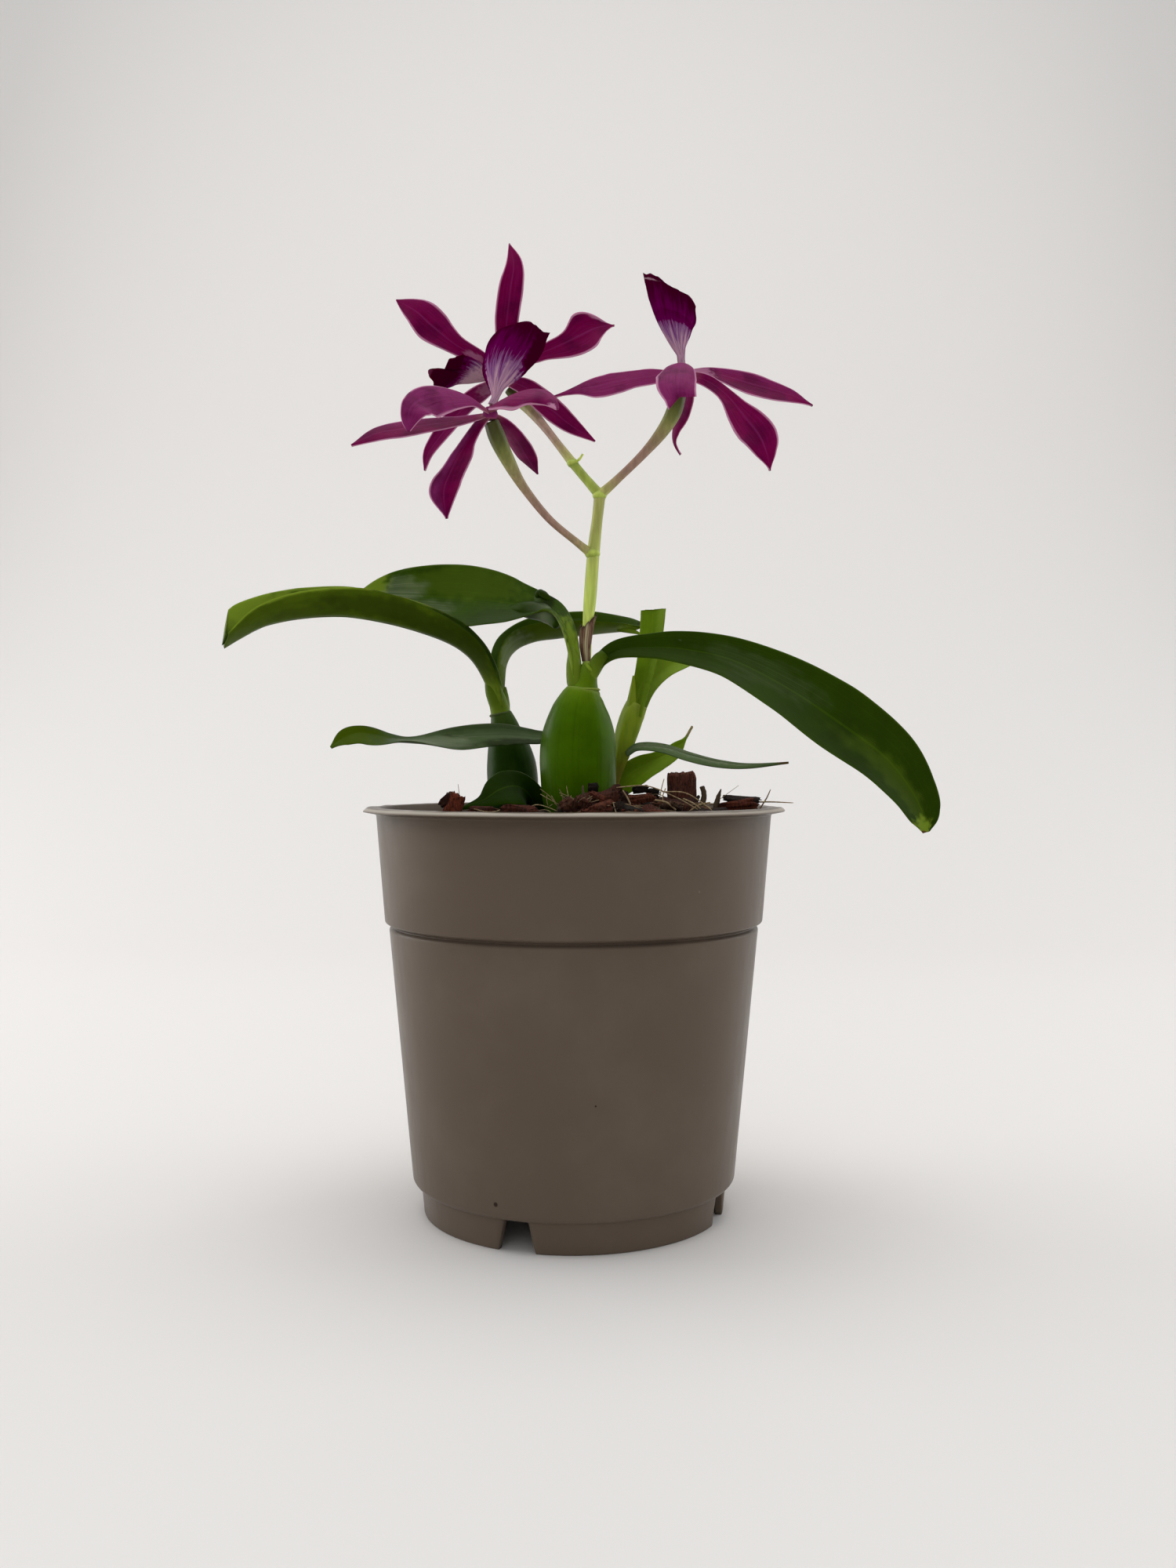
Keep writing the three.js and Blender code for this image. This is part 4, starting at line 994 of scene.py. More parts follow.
class Pot:
    """The taupe nursery pot, one moulded piece."""

    def __init__(self, size: PotSize, finish: PlasticFinish) -> None:
        self.size = size
        self.finish = finish

    def profile(self) -> np.ndarray:
        """Returns the pot's outline from the floor's underside round the rim to the floor's top."""
        s = self.size
        foot, top = (s.body_foot, s.body_foot_z), (s.body_top, s.body_top_z)
        collar, flange = (s.collar_foot, s.collar_foot_z), s.height - s.rim_thickness
        outside = [
            (0.05, s.floor_z), (s.ring_foot - s.wall, s.floor_z), (s.ring_foot - s.wall - 0.4, 0.0),
            (s.ring_foot, 0.0), (s.ring_top, s.ring_top_z), (s.bead_radius - 0.6, s.ring_top_z + 0.1),
            (s.bead_radius, s.bead_z), foot, *between(foot, top, (0.25, 0.5, 0.75)), top,
            (s.groove_radius, s.groove_z), collar,
            *between(collar, (s.collar_top, flange), (0.4, 0.7, 0.85, 0.93)),
            (s.collar_top, flange - 0.6), (s.rim_radius - 0.4, flange), (s.rim_radius, flange + 0.2),
            (s.rim_radius - 0.25, s.height - 0.6), (s.rim_radius - 0.9, s.height - 0.12),
            (s.rim_radius - 1.6, s.height),
        ]
        inside = [
            (s.collar_top - s.wall + 0.4, s.height), (s.collar_top - s.wall, s.height - 3),
            (s.collar_foot - s.wall, s.collar_foot_z + 3),
            (s.groove_radius - s.wall + 0.1, s.collar_foot_z),
            (s.body_top - s.wall - 0.6, s.body_top_z - 1),
            (s.body_foot - s.wall, s.floor_z + s.floor_thickness),
            (0.05, s.floor_z + s.floor_thickness),
        ]
        return rounded(outside + inside, 0.5)

    def foot_line(self, angle: np.ndarray) -> np.ndarray:
        """Returns how high the base ring's lower edge is: on the table, and raised in the notches."""
        s = self.size
        quarter = 2 * np.pi / s.notch_count
        first = math.radians(s.notch_first - 90)
        beside = np.abs((angle - first + quarter / 2) % quarter - quarter / 2) * s.ring_foot
        slope = (s.notch_foot - s.notch_top) / 2
        return s.ring_top_z * np.clip((s.notch_foot / 2 - beside) / slope, 0, 1)

    def painted_light(self, place: np.ndarray, radius: np.ndarray) -> dict[str, np.ndarray]:
        """Returns the painted shade in the groove and under the rim, and the rim edge's painted highlight.
        """
        s = self.size
        z = place[..., 2]
        blots = 0.75 + 0.25 * noise(place * (0.1, 0.1, 0.6), 14, 3)
        in_groove = np.exp(-(((z - s.groove_z) / 0.9) ** 2)) * (radius > s.groove_from)
        under_rim = smooth(s.height - 9, s.height - s.rim_thickness - 0.5, z) * (radius > s.under_rim_from)
        under_rim = under_rim * (z < s.height - s.rim_thickness + 0.1)
        # painted shade in the groove and under the rim's flange
        grime = blots * np.clip(s.groove_shade * in_groove + s.under_rim_shade * under_rim, 0, 1)
        # painted highlight on the rim's top edge
        edge = smooth(s.height - 1.2, s.height - 0.5, z) * smooth(s.highlight_from, s.highlight_to, radius)
        return {"grime": grime, "worn": (0.75 + 0.25 * blots) * edge}

    def shell(self) -> Shell:
        """Turns the profile, lifts the base ring's foot at the notches and waves the rim a little."""
        s = self.size
        profile = self.profile()
        angle, section = circle(s.around)
        radius = np.repeat(profile[:, :1], s.around, 1)
        z = np.repeat(profile[:, 1:], s.around, 1)
        foot = self.foot_line(angle)
        in_ring = (z < s.ring_top_z) & (radius > s.ring_foot - s.wall - 1)
        z = np.where(in_ring, foot + z * (s.ring_top_z - foot) / s.ring_top_z, z)
        turned = np.column_stack([section, np.zeros(s.around)])
        at_rim = smooth(s.height - 2.2, s.height - 0.6, z) * smooth(s.wave_from, s.wave_to, radius)
        radius = radius + at_rim * s.rim_wave * noise(turned * 5, 4, 2)
        radius = radius + s.wall_wave * noise(turned * 1.5 + (0, 0, 1.0), 9, 1) * smooth(20, 90, z)
        z = z + at_rim * s.rim_lift * noise(turned * 7, 6, 2)
        place = np.stack([radius * np.cos(angle), radius * np.sin(angle), z], -1)
        return tube(place, self.painted_light(place, radius))

    def pegs(self) -> list[Shell]:
        """Returns the small pegs that stand out under the bead."""
        s = self.size
        reach = (s.ring_top - 1, s.ring_top + s.peg_length / 2, s.ring_top + s.peg_length)
        lines = zip(*(spread(radius, s.peg_count, s.peg_first) for radius in reach))
        pegs = (tuple((x, y, s.peg_z, s.peg_radius) for x, y in line) for line in lines)
        return [Rod(peg, rows=8, around=14).shell() for peg in pegs]

    def cut_drains(self, piece: bpy.types.Object) -> None:
        """Cuts the drain holes through the pot's floor."""
        s = self.size
        places = spread(s.drain_ring, s.notch_count, s.notch_first)
        holes = [(x, y, s.drain_radius) for x, y in places]
        rods = []
        for x, y, radius in [*holes, (0.0, 0.0, s.drain_centre)]:
            line = ((x, y, s.floor_z - 4, radius), (x, y, s.floor_z + 6, radius))
            rods.append(Rod(line, rows=2, around=40, dome=0).shell())
        shell = merged(rods)
        mesh = bpy.data.meshes.new("drain_cutter")
        faces = [*shell.quads.tolist(), *shell.triangles.tolist()]
        mesh.from_pydata((shell.points * MM).tolist(), [], faces)
        cutter = linked("drain_cutter", mesh)
        cut = piece.modifiers.new("drains", "BOOLEAN")
        cut.operation, cut.solver, cut.object = "DIFFERENCE", "EXACT", cutter
        evaluated = piece.evaluated_get(bpy.context.evaluated_depsgraph_get())
        made = bpy.data.meshes.new_from_object(evaluated)
        piece.modifiers.clear()
        piece.data = made
        bpy.data.objects.remove(cutter)

    def build(self) -> None:
        """Adds the pot."""
        material = self.finish.material("pot_plastic")
        piece = add_piece("pot_look", [self.shell(), *self.pegs()], material, ["pot"])
        self.cut_drains(piece)


@dataclass(frozen=True)
class Chip:
    """One flake: its place, half its sizes, its turns about x, y and z in degrees, and its colour."""

    place: Point
    size: Point
    turn: Point = (0.0, 0.0, 0.0)
    tone: float = 0.2
    red: float = 0.0


@dataclass(frozen=True)
class Strew:
    """Strewn flakes: their count, half a large one's sizes, their tilt, their rings and points."""

    count: int
    size: Point
    tilt: float
    rows: int
    around: int
    seed: int


@dataclass(frozen=True)
class ChunkSize:
    """Sizes of the upright chunk; its waist is how much its width changes, its turn is in radians."""

    foot: Point = (30.1, -12.4, 108.4)
    height: float = 15.8
    tear: float = 1.1
    half_width: float = 3.55
    waist: float = 0.25
    depth: float = 0.72
    turn: float = 0.25
    rows: int = 90
    around: int = 128


@dataclass(frozen=True)
class BarkSize:
    """Sizes of the bark bed.

    heaps are x, y, rise and radius. dip is how much lower the left side is and where that begins
    and ends. Flakes stay inside wall, their centres and whole straws inside strewn_to, and straws
    begin inside straws_to.
    """

    top_z: float = 111.2
    heaps: tuple[Station, ...] = (
        (7.5, -26.0, 4.6, 11.0), (20.0, -2.0, 4.8, 12.0), (31.0, -18.0, 1.8, 14.0),
        (-14.0, 16.0, 1.6, 16.0), (0.0, 30.0, 1.4, 18.0),
    )
    dip: Point = (3.4, 22.0, 46.0)
    radius: float = 54.0
    foot_radius: float = 44.0
    foot_z: float = 12.0
    neck_radius: float = 50.5
    neck_z: float = 80.0
    around: int = 180
    wall: float = 53.4
    strewn_to: float = 52.0
    straws_to: float = 48.0
    chunk: ChunkSize = ChunkSize()
    flakes: Strew = Strew(330, (4.8, 2.6, 0.95), 0.22, 11, 18, 21)
    crumbs: Strew = Strew(780, (1.7, 1.1, 0.7), 0.5, 7, 9, 22)


class BarkBed:
    """Loose bark: a rough bed, flakes and crumbs on its top, one upright chunk, fibres and twigs."""

    CHIPS = (
        Chip((-31.2, -36, 115.6), (3.2, 1.5, 2.1), (0, -68, 20), 0.3, 0.95),
        Chip((-33.2, -35.6, 117.2), (1.9, 1.6, 1.1), (0, -40, 10), 0.05, 0.15),
        Chip((5.4, -24, 120), (1.3, 1.2, 1.5), (0, 0, 0), 0.02, 0),
        Chip((7.8, -28, 116.8), (4.5, 2.8, 2.1), (8, -6, 10), 0.1, 0.3),
        Chip((10, -25.5, 118.8), (2.9, 1.9, 1), (10, -26, 20), 0.24, 0.2),
        Chip((6.4, -31, 118), (2.2, 0.9, 0.7), (20, 24, -14), 0.3, 0.55),
        Chip((-13.4, -40.4, 114.8), (4.2, 1.5, 1.2), (10, 4, 4), 0.12, 0.4),
        Chip((-23.6, -38.2, 114.4), (3.2, 1.4, 1), (0, 3, 12), 0.14, 0.3),
        Chip((-0.6, -34, 115.4), (2.3, 1.6, 1.7), (20, 30, 40), 0.42, 0.3),
        Chip((2.6, -33, 116.2), (1.9, 1.6, 1.4), (0, 20, -30), 0.3, 0.3),
        Chip((13.2, -20, 116.4), (2.8, 2.2, 1.8), (0, 30, 60), 0.1, 0.1),
        Chip((19, -5, 119.5), (2.1, 1.6, 0.9), (0, -8, 10), 0, 0),
        Chip((22.2, -4, 118.9), (1.9, 1.6, 0.8), (0, 14, -20), 0.02, 0),
        Chip((18.4, -8, 116.6), (4.2, 2.2, 1.4), (12, -4, 12), 0.5, 0.7),
        Chip((25.4, -22, 115.6), (3.4, 2, 1), (0, 8, -18), 0.55, 0.25),
        Chip((29, -18.6, 114.8), (4.6, 2.2, 1.6), (10, 0, 6), 0.06, 0.2),
        Chip((47, -11.4, 116.8), (4.4, 1.9, 0.55), (18, 3, 6), 0.05, 0),
        Chip((45.6, -12.6, 115.2), (4.8, 2.4, 1.2), (0, -4, 10), 0.2, 0.6),
    )
    FIBRES = (
        (
            (11.6, -28, 120.4, 0.16), (19.8, -28, 120.8, 0.16), (27.5, -29, 117.8, 0.15),
            (33.2, -30, 114.6, 0.13),
        ),
        (
            (23.7, -29, 119.3, 0.17), (30.1, -29, 118.9, 0.17), (35.9, -30, 115.2, 0.15),
            (37.4, -30, 113.6, 0.14),
        ),
        ((25.2, -20, 120.1, 0.14), (24.3, -22, 117.3, 0.14), (25.6, -24, 113.4, 0.14)),
        ((13.4, -26, 119.6, 0.2), (15, -27, 116.8, 0.22), (16.2, -28, 113.4, 0.2)),
        ((25, -16, 122.6, 0.13), (24.2, -18, 120, 0.13), (23.6, -20, 117.4, 0.13)),
        ((38, -10, 115.4, 0.24), (47, -9, 115.9, 0.22), (55, -8, 116.1, 0.2), (62, -7, 115.8, 0.12)),
        ((52, -8, 113.6, 0.2), (54.2, -8, 117, 0.2), (55.4, -8, 119.6, 0.12)),
        ((40.6, -14, 117, 0.07), (43.6, -14, 119.2, 0.07), (45.8, -14, 120.8, 0.05)),
        ((-30, -34, 117, 0.08), (-29.8, -34.4, 119, 0.08), (-30, -34.8, 121.4, 0.06)),
        (
            (-25.4, -40, 115, 0.12), (-21, -40, 114.2, 0.12), (-16, -40, 115.4, 0.12),
            (-13, -40, 114.6, 0.1),
        ),
        (
            (-12.4, -38, 114.8, 0.12), (-9.6, -38, 116, 0.13), (-7, -38, 115.6, 0.12),
            (-4, -38, 114.4, 0.1),
        ),
        ((29.5, -27, 117.4, 0.22), (32.4, -28, 116, 0.24), (35, -28, 113.8, 0.22)),
        ((36.8, -27, 116.4, 0.22), (33.6, -27, 115.6, 0.24), (31, -27, 113.8, 0.22)),
        ((22, -26, 117, 0.26), (25, -27, 116.4, 0.28), (27.6, -27, 114.4, 0.24)),
    )
    TWIGS = (
        ((35.6, -14, 115, 0.8), (36.2, -14, 118.2, 0.75), (35.6, -14, 120.6, 0.7)),
        ((39.4, -13, 114.4, 0.75), (40.2, -13, 117.4, 0.65), (41, -13, 119.8, 0.15)),
        ((-31, -36, 117.4, 0.5), (-31.6, -36, 118.4, 0.45), (-32.2, -36, 119.4, 0.4)),
        ((3, -30, 118, 0.35), (2.7, -30, 119.6, 0.3), (2.7, -30, 121, 0.2)),
    )
    STRAWS = 140
    STRAW_SEED = 77
    TUFT = (0.4, -33.4, 116.0)
    TUFT_HAIRS = 22
    HAIR_RADIUS = 0.09

    def __init__(self, size: BarkSize) -> None:
        self.size = size

    def height(self, x: np.ndarray, y: np.ndarray) -> np.ndarray:
        """Returns the height of the bed's top: heaps round the bulb, and a low left side."""
        s = self.size
        top = s.top_z - s.dip[0] * smooth(s.dip[1], s.dip[2], -x)
        for heap_x, heap_y, rise, radius in s.heaps:
            top = top + rise * np.exp(-((x - heap_x) ** 2 + (y - heap_y) ** 2) / radius**2)
        return top

    def bed(self) -> Shell:
        """Makes the bed: its side follows the pot's inside and its top is rough crumbs."""
        s = self.size
        _, section = circle(s.around)
        side = np.array([0.3, s.foot_radius, s.neck_radius, s.radius])
        side_z = np.array([s.foot_z, s.foot_z, s.neck_z, s.top_z - 6])
        radius = np.concatenate([side, np.linspace(s.radius, 0.3, 70)])[:, None]
        x, y = radius * section[:, 0], radius * section[:, 1]
        flat = np.stack([x, y, 0 * x], -1)
        z = self.height(x, y) - 0.6 + 1.3 * noise(flat * 0.45, 3, 4) * smooth(50, 54, radius)
        z[: len(side)] = side_z[:, None]
        return tube(np.stack([x, y, z], -1), {"tone": 0.05 + 0.12 * noise(flat * 0.3, 8, 3)})

    @staticmethod
    def block(rows: int, around: int, shifts: np.ndarray) -> np.ndarray:
        """Makes rough slabs of half size one, long in x: fibres along them and broken ends.

        Args:
            rows: Rings of points along a slab.
            around: Points round a ring.
            shifts: One number per slab, which picks its piece of the noise.

        Returns:
            Points, slabs by rows by places round the ring by x, y, z.
        """
        up = np.linspace(-np.pi / 2, np.pi / 2, rows)
        blunt, flat = 0.3, 0.55
        x = (np.sign(up) * np.abs(np.sin(up)) ** blunt)[:, None]
        section = np.cos(up)[:, None, None] ** blunt * squared(circle(around)[1], flat)
        y, z = section[..., 0], section[..., 1]
        shift = shifts[:, None, None]
        place = np.stack(np.broadcast_arrays(x * 0.9 + shift, y * 2.4, z * 2.4), -1)
        fibre = noise(place, 2, 3)
        teeth = noise(place * (0.02, 1.4, 1.4) + shift[..., None], 6, 2)
        lump = noise(place * (1.1, 0.4, 0.4), 9, 2)
        swell = 1 + 0.3 * fibre + 0.3 * lump + 0.16 * noise(place * 3.1, 17, 2)
        return np.stack([x * (1 + 0.3 * teeth), y * swell, z * swell + 0.35 * lump], -1)

    @staticmethod
    def turned(shape: np.ndarray, turns: np.ndarray) -> np.ndarray:
        """Turns each slab about x, then y, then z, by angles given per slab in radians."""
        for axis in range(3):
            c, s = (part[:, None, None] for part in (np.cos(turns[:, axis]), np.sin(turns[:, axis])))
            first, second = (axis + 1) % 3, (axis + 2) % 3
            moved = shape.copy()
            moved[..., first] = c * shape[..., first] - s * shape[..., second]
            moved[..., second] = s * shape[..., first] + c * shape[..., second]
            shape = moved
        return shape

    @staticmethod
    def joined(grids: np.ndarray, **values: np.ndarray) -> Shell:
        """Joins many closed grids of the same shape; each value is given once per grid."""
        count = len(grids)
        one = tube(grids[0], {})
        ends = np.stack([grids[:, 0].mean(1), grids[:, -1].mean(1)], 1)
        points = np.concatenate([grids.reshape(count, -1, 3), ends], 1)
        starts = (np.arange(count) * len(one.points))[:, None, None]
        return Shell(
            points.reshape(-1, 3),
            (one.quads[None] + starts).reshape(-1, 4),
            (one.triangles[None] + starts).reshape(-1, 3),
            {name: np.repeat(value, len(one.points)) for name, value in values.items()},
        )

    def strewn(self, kind: Strew) -> Shell:
        """Makes flakes of one kind, turned at random and strewn on the bed inside the pot's wall."""
        random = np.random.default_rng(kind.seed)
        radius = self.size.strewn_to * np.sqrt(random.random(kind.count))
        heading = 2 * np.pi * random.random(kind.count)
        grow = 0.4 + 0.8 * random.random(kind.count) ** 1.6
        size = np.array(kind.size) * grow[:, None] * (0.75 + 0.5 * random.random((kind.count, 3)))
        turns = kind.tilt * random.normal(0, 1, (kind.count, 3))
        turns[:, 2] = 2 * np.pi * random.random(kind.count)
        shape = self.block(kind.rows, kind.around, 9.0 * np.arange(kind.count))
        shape = self.turned(shape * size[:, None, None], turns)
        reach = np.hypot(shape[..., 0], shape[..., 1]).max(axis=(1, 2))
        radius = np.minimum(radius, np.maximum(self.size.wall - reach, 1))
        x, y = radius * np.cos(heading), radius * np.sin(heading)
        z = self.height(x, y) + 0.3 * size[:, 2] + 0.9 * random.random(kind.count)
        tone = 0.6 * random.random(kind.count) ** 2
        red = np.clip(1.6 * random.random(kind.count) - 0.9, 0, 0.6)
        return self.joined(shape + np.stack([x, y, z], -1)[:, None, None], tone=tone, red=red)

    def placed(self) -> Shell:
        """Makes the flakes that have a place of their own."""
        shifts = 5.0 + 7.0 * np.arange(len(self.CHIPS))
        parts = ("size", "turn", "place", "tone", "red")
        size, turn, place, tone, red = (
            np.array([getattr(chip, part) for chip in self.CHIPS]) for part in parts
        )
        shape = self.block(24, 40, shifts)
        jags = noise(shape * (1.4, 2.6, 2.6) + shifts[:, None, None, None], 19, 3)
        shape = shape * (1 + 0.34 * jags[..., None]) * size[:, None, None]
        shape = self.turned(shape, np.radians(turn)) + place[:, None, None]
        return self.joined(shape, tone=tone, red=red)

    def chunk(self) -> Shell:
        """Makes the upright chunk: a slab of upright fibres with a broken, uneven top."""
        s = self.size.chunk
        u = np.linspace(0, 1, s.rows)[:, None]
        up = (0, 0, 1) * u[..., None]
        corner = squared(circle(s.around)[1], 0.4)
        width = s.half_width - s.waist * np.cos(5 * u) + s.waist * smooth(0.7, 1, u)
        width = width * (1 - 0.12 * smooth(0.96, 1, u))
        x, y = width * corner[:, 0], s.depth * width * corner[:, 1]
        place = np.stack([x, y, 0 * x], -1)
        fibre = noise(place * 1.5 + up * 1.6, 12, 4)
        x, y = x * (1 + 0.1 * fibre), y * (1 + 0.1 * fibre)
        z = s.foot[2] + u * (s.height + s.tear * noise(place * 0.9, 31, 3))
        along, across = math.cos(s.turn), math.sin(s.turn)
        turned = (s.foot[0] + along * x - across * y, s.foot[1] + across * x + along * y)
        tone = 0.28 + 0.4 * fibre + 0.2 * smooth(0.9, 1, u)
        red = 0.45 + 0.5 * noise(place * 0.5 + up * 2, 5, 2)
        return tube(np.stack([*turned, z], -1), {"tone": tone, "red": red})

    def straw(self, random: np.random.Generator) -> Shell:
        """Makes one dry straw that lies curled on the bark, inside the pot's wall."""
        s = self.size
        radius, bearing = s.straws_to * math.sqrt(random.random()), random.uniform(0, 2 * np.pi)
        heading, length = random.uniform(0, 2 * np.pi), random.uniform(4, 16)
        curl, rise, deep = random.uniform(-3, 3), random.uniform(-0.4, 1.6), random.uniform(0, 0.7)
        steps = np.linspace(0, 1, 4)
        x = radius * math.cos(bearing) + length * steps * math.cos(heading) + curl * steps**2
        y = radius * math.sin(bearing) + length * steps * math.sin(heading) - curl * steps**2
        held = np.minimum(1, s.strewn_to / np.hypot(x, y))
        x, y = x * held, y * held
        z = self.height(x, y) + 1.2 + rise * np.sin(2.4 * steps)
        line = even_line(x, y, z, random.uniform(0.07, 0.2))
        return Rod(line, rows=12, around=6, tints={"deep": (deep, deep)}).shell()

    def hair(self, random: np.random.Generator) -> Shell:
        """Makes one of the short upright hairs of the tuft."""
        foot = np.array(self.TUFT) + random.normal(0, 1, 3) * (2.6, 1.0, 0.3)
        lean = random.normal(0, 1, 3) * (1.0, 0.6, 0.4) + (-0.3, 0, 1.0)
        steps = np.linspace(0, random.uniform(2.0, 4.5), 4)[:, None]
        curl = random.normal(0, 0.12, 3) * (1, 1, 0.3)
        line = even_line(*(foot + lean * steps / 1.4 + curl * steps**2).T, self.HAIR_RADIUS)
        return Rod(line, rows=10, around=6, tints={"deep": (0.25, 0.25)}).shell()

    def straws(self) -> list[Shell]:
        """Makes dry fibres, needles and twig stubs that lie on or stand out of the bark."""
        random = np.random.default_rng(self.STRAW_SEED)
        dark = {"deep": (0.8, 0.85)}
        return [
            *(Rod(line, rows=36, around=8).shell() for line in self.FIBRES),
            *(Rod(line, 30, 14, rough=0.25, tints=dark).shell() for line in self.TWIGS),
            *(self.straw(random) for _ in range(self.STRAWS)),
            *(self.hair(random) for _ in range(self.TUFT_HAIRS)),
        ]

    def build(self) -> None:
        """Adds the bed with its flakes, the chunk, and the fibres."""
        s = self.size
        bark = BarkFinish().material("bark")
        red = BarkFinish(srgb(30, 15, 10), srgb(78, 44, 32), srgb(128, 88, 66), srgb(96, 44, 30))
        straw = PlainFinish(srgb(132, 108, 76), srgb(168, 148, 112), 0.7, deep=srgb(46, 30, 20))
        add_piece("bark_look", [self.bed(), self.strewn(s.flakes)], bark, ["bark_bed"])
        add_piece("bark_crumbs", [self.strewn(s.crumbs), self.placed()], bark, [])
        chunk = red.material("bark_red")
        add_piece("bark_chunk_look", [self.chunk()], chunk, ["bark_chunk_upright"])
        add_piece("bark_fibres", self.straws(), straw.material("bark_fibre"), [])


# The plant


class Growth:
    """The rhizome with its roots, and both pseudobulbs with their rings, the front one's with a neck."""

    FRONT = (
        (1.6, -9.4, 108, 4.5), (1.6, -9.5, 111.5, 8.2), (1.5, -9.6, 115.6, 9.9), (1.4, -9.8, 122, 10.5),
        (1.3, -10, 128.6, 10.7), (1.5, -10, 135.4, 10.1), (1.8, -10, 141.3, 8.2), (2.3, -10, 145.3, 6.1),
        (2.8, -10, 147.9, 4.3),
    )
    BACK = (
        (-17.8, 15, 107.3, 4), (-18, 15, 113, 6.8), (-18.2, 15, 119, 7.5), (-18.6, 15, 126, 7.4),
        (-19.6, 15, 132, 6.2), (-20.8, 15, 138, 4.3), (-21.9, 15, 142.2, 3),
    )
    NECK = (
        (3, -10, 146.4, 4.5), (3.2, -10, 147.8, 4), (3.6, -10.2, 149.4, 3.2), (4, -10.4, 151.4, 2.7),
        (4.3, -10.6, 153.4, 2.3), (4.4, -10.7, 155, 1.9),
    )
    RINGS = (
        ((2.9, -10, 147, 4.1), (2.9, -10, 147.5, 4.6), (2.9, -10, 148, 4.1)),
        ((-21.9, 15, 141.2, 2.9), (-22, 15, 141.7, 3.4), (-22.1, 15, 142.2, 2.9)),
    )
    RHIZOME = (
        (-20, 16, 104.8, 2.2), (-12, 11, 103.5, 2.5), (-6, 3, 104.5, 2.3), (1, -8, 105.2, 2.6),
        (3, -12, 105.1, 2.4),
    )
    BRANCH = ((-6, 3, 104.5, 2), (2, 4.6, 104.5, 2.2), (9.6, 9.3, 105.9, 2.2))
    ROOT_COUNT = 9
    ROOT_LENGTH = 62.0
    ROOT_REACH = 27.0
    ROOT_RADIUS = 1.2
    ROOT_SEED = 5

    def roots(self) -> list[Shell]:
        """Makes the roots: they leave the rhizome, spread outwards and run down in the bark."""
        random = np.random.default_rng(self.ROOT_SEED)
        spine = np.array(self.RHIZOME)[:, :3]
        share = np.array([0, 0.2, 0.45, 0.7, 1])
        shells = []
        for i in range(self.ROOT_COUNT):
            start = through(spine, np.array((i + 0.5) / self.ROOT_COUNT))
            heading = 2 * np.pi * (i * 3 + random.random()) / self.ROOT_COUNT
            out = self.ROOT_REACH * np.sqrt(share) * random.uniform(0.8, 1.05, 5)
            wobble = 2.5 * np.sin(np.arange(5) * 2.1 + i) * (share > 0)
            x = start[0] * (1 - 0.3 * share) + out * math.cos(heading) + wobble
            y = start[1] * (1 - 0.3 * share) + out * math.sin(heading) - wobble
            line = even_line(x, y, start[2] - self.ROOT_LENGTH * share, self.ROOT_RADIUS)
            shells.append(Rod(line, rows=30, around=10, rough=0.12, seed=i).shell())
        return shells

    def build(self) -> None:
        """Adds the rhizome with its roots, and the bulbs."""
        stems = [Rod(line, 30, 14, rough=0.08).shell() for line in (self.RHIZOME, self.BRANCH)]
        cork = PlainFinish(srgb(150, 130, 96), srgb(196, 182, 150), 0.85, (500.0, 500.0, 500.0))
        skin = cork.material("root")
        add_piece("roots_look", [*stems, *self.roots()], skin, ["rhizome_roots"])
        scar = {"pale": (*(0,) * 17, 0.1, 1)}
        leaf_foot = {"pale": (0.3, 0.15, 0.1, 0.2, 0.4), "along": (0.9, 0.9)}
        worn = {"pale": (1, 1), "along": (1, 1)}
        collar, back_collar = (Rod(line, 10, 60, rough=0.03, dome=0.8, tints=worn) for line in self.RINGS)
        front = Rod(self.FRONT, 170, 120, ribs=0.006, rib_count=9, rough=0.012, dome=0.15, tints=scar)
        neck = Rod(self.NECK, 60, 48, rough=0.04, dome=0.3, tints=leaf_foot)
        shells = [rod.shell() for rod in (front, neck, collar)]
        skin = BulbFinish().material("bulb_skin")
        add_piece("bulb_front_look", shells, skin, ["pseudobulb_front"])
        dark = BulbFinish(
            srgb(18, 36, 6), srgb(26, 50, 8), srgb(56, 74, 28), srgb(16, 34, 4), srgb(84, 96, 56)
        )
        back = Rod(self.BACK, 110, 80, ribs=0.01, rib_count=7, rough=0.02, dome=0.15)
        shells = [back.shell(), back_collar.shell()]
        skin = dark.material("bulb_skin_dark")
        add_piece("bulb_back_look", shells, skin, ["pseudobulb_back_left"])


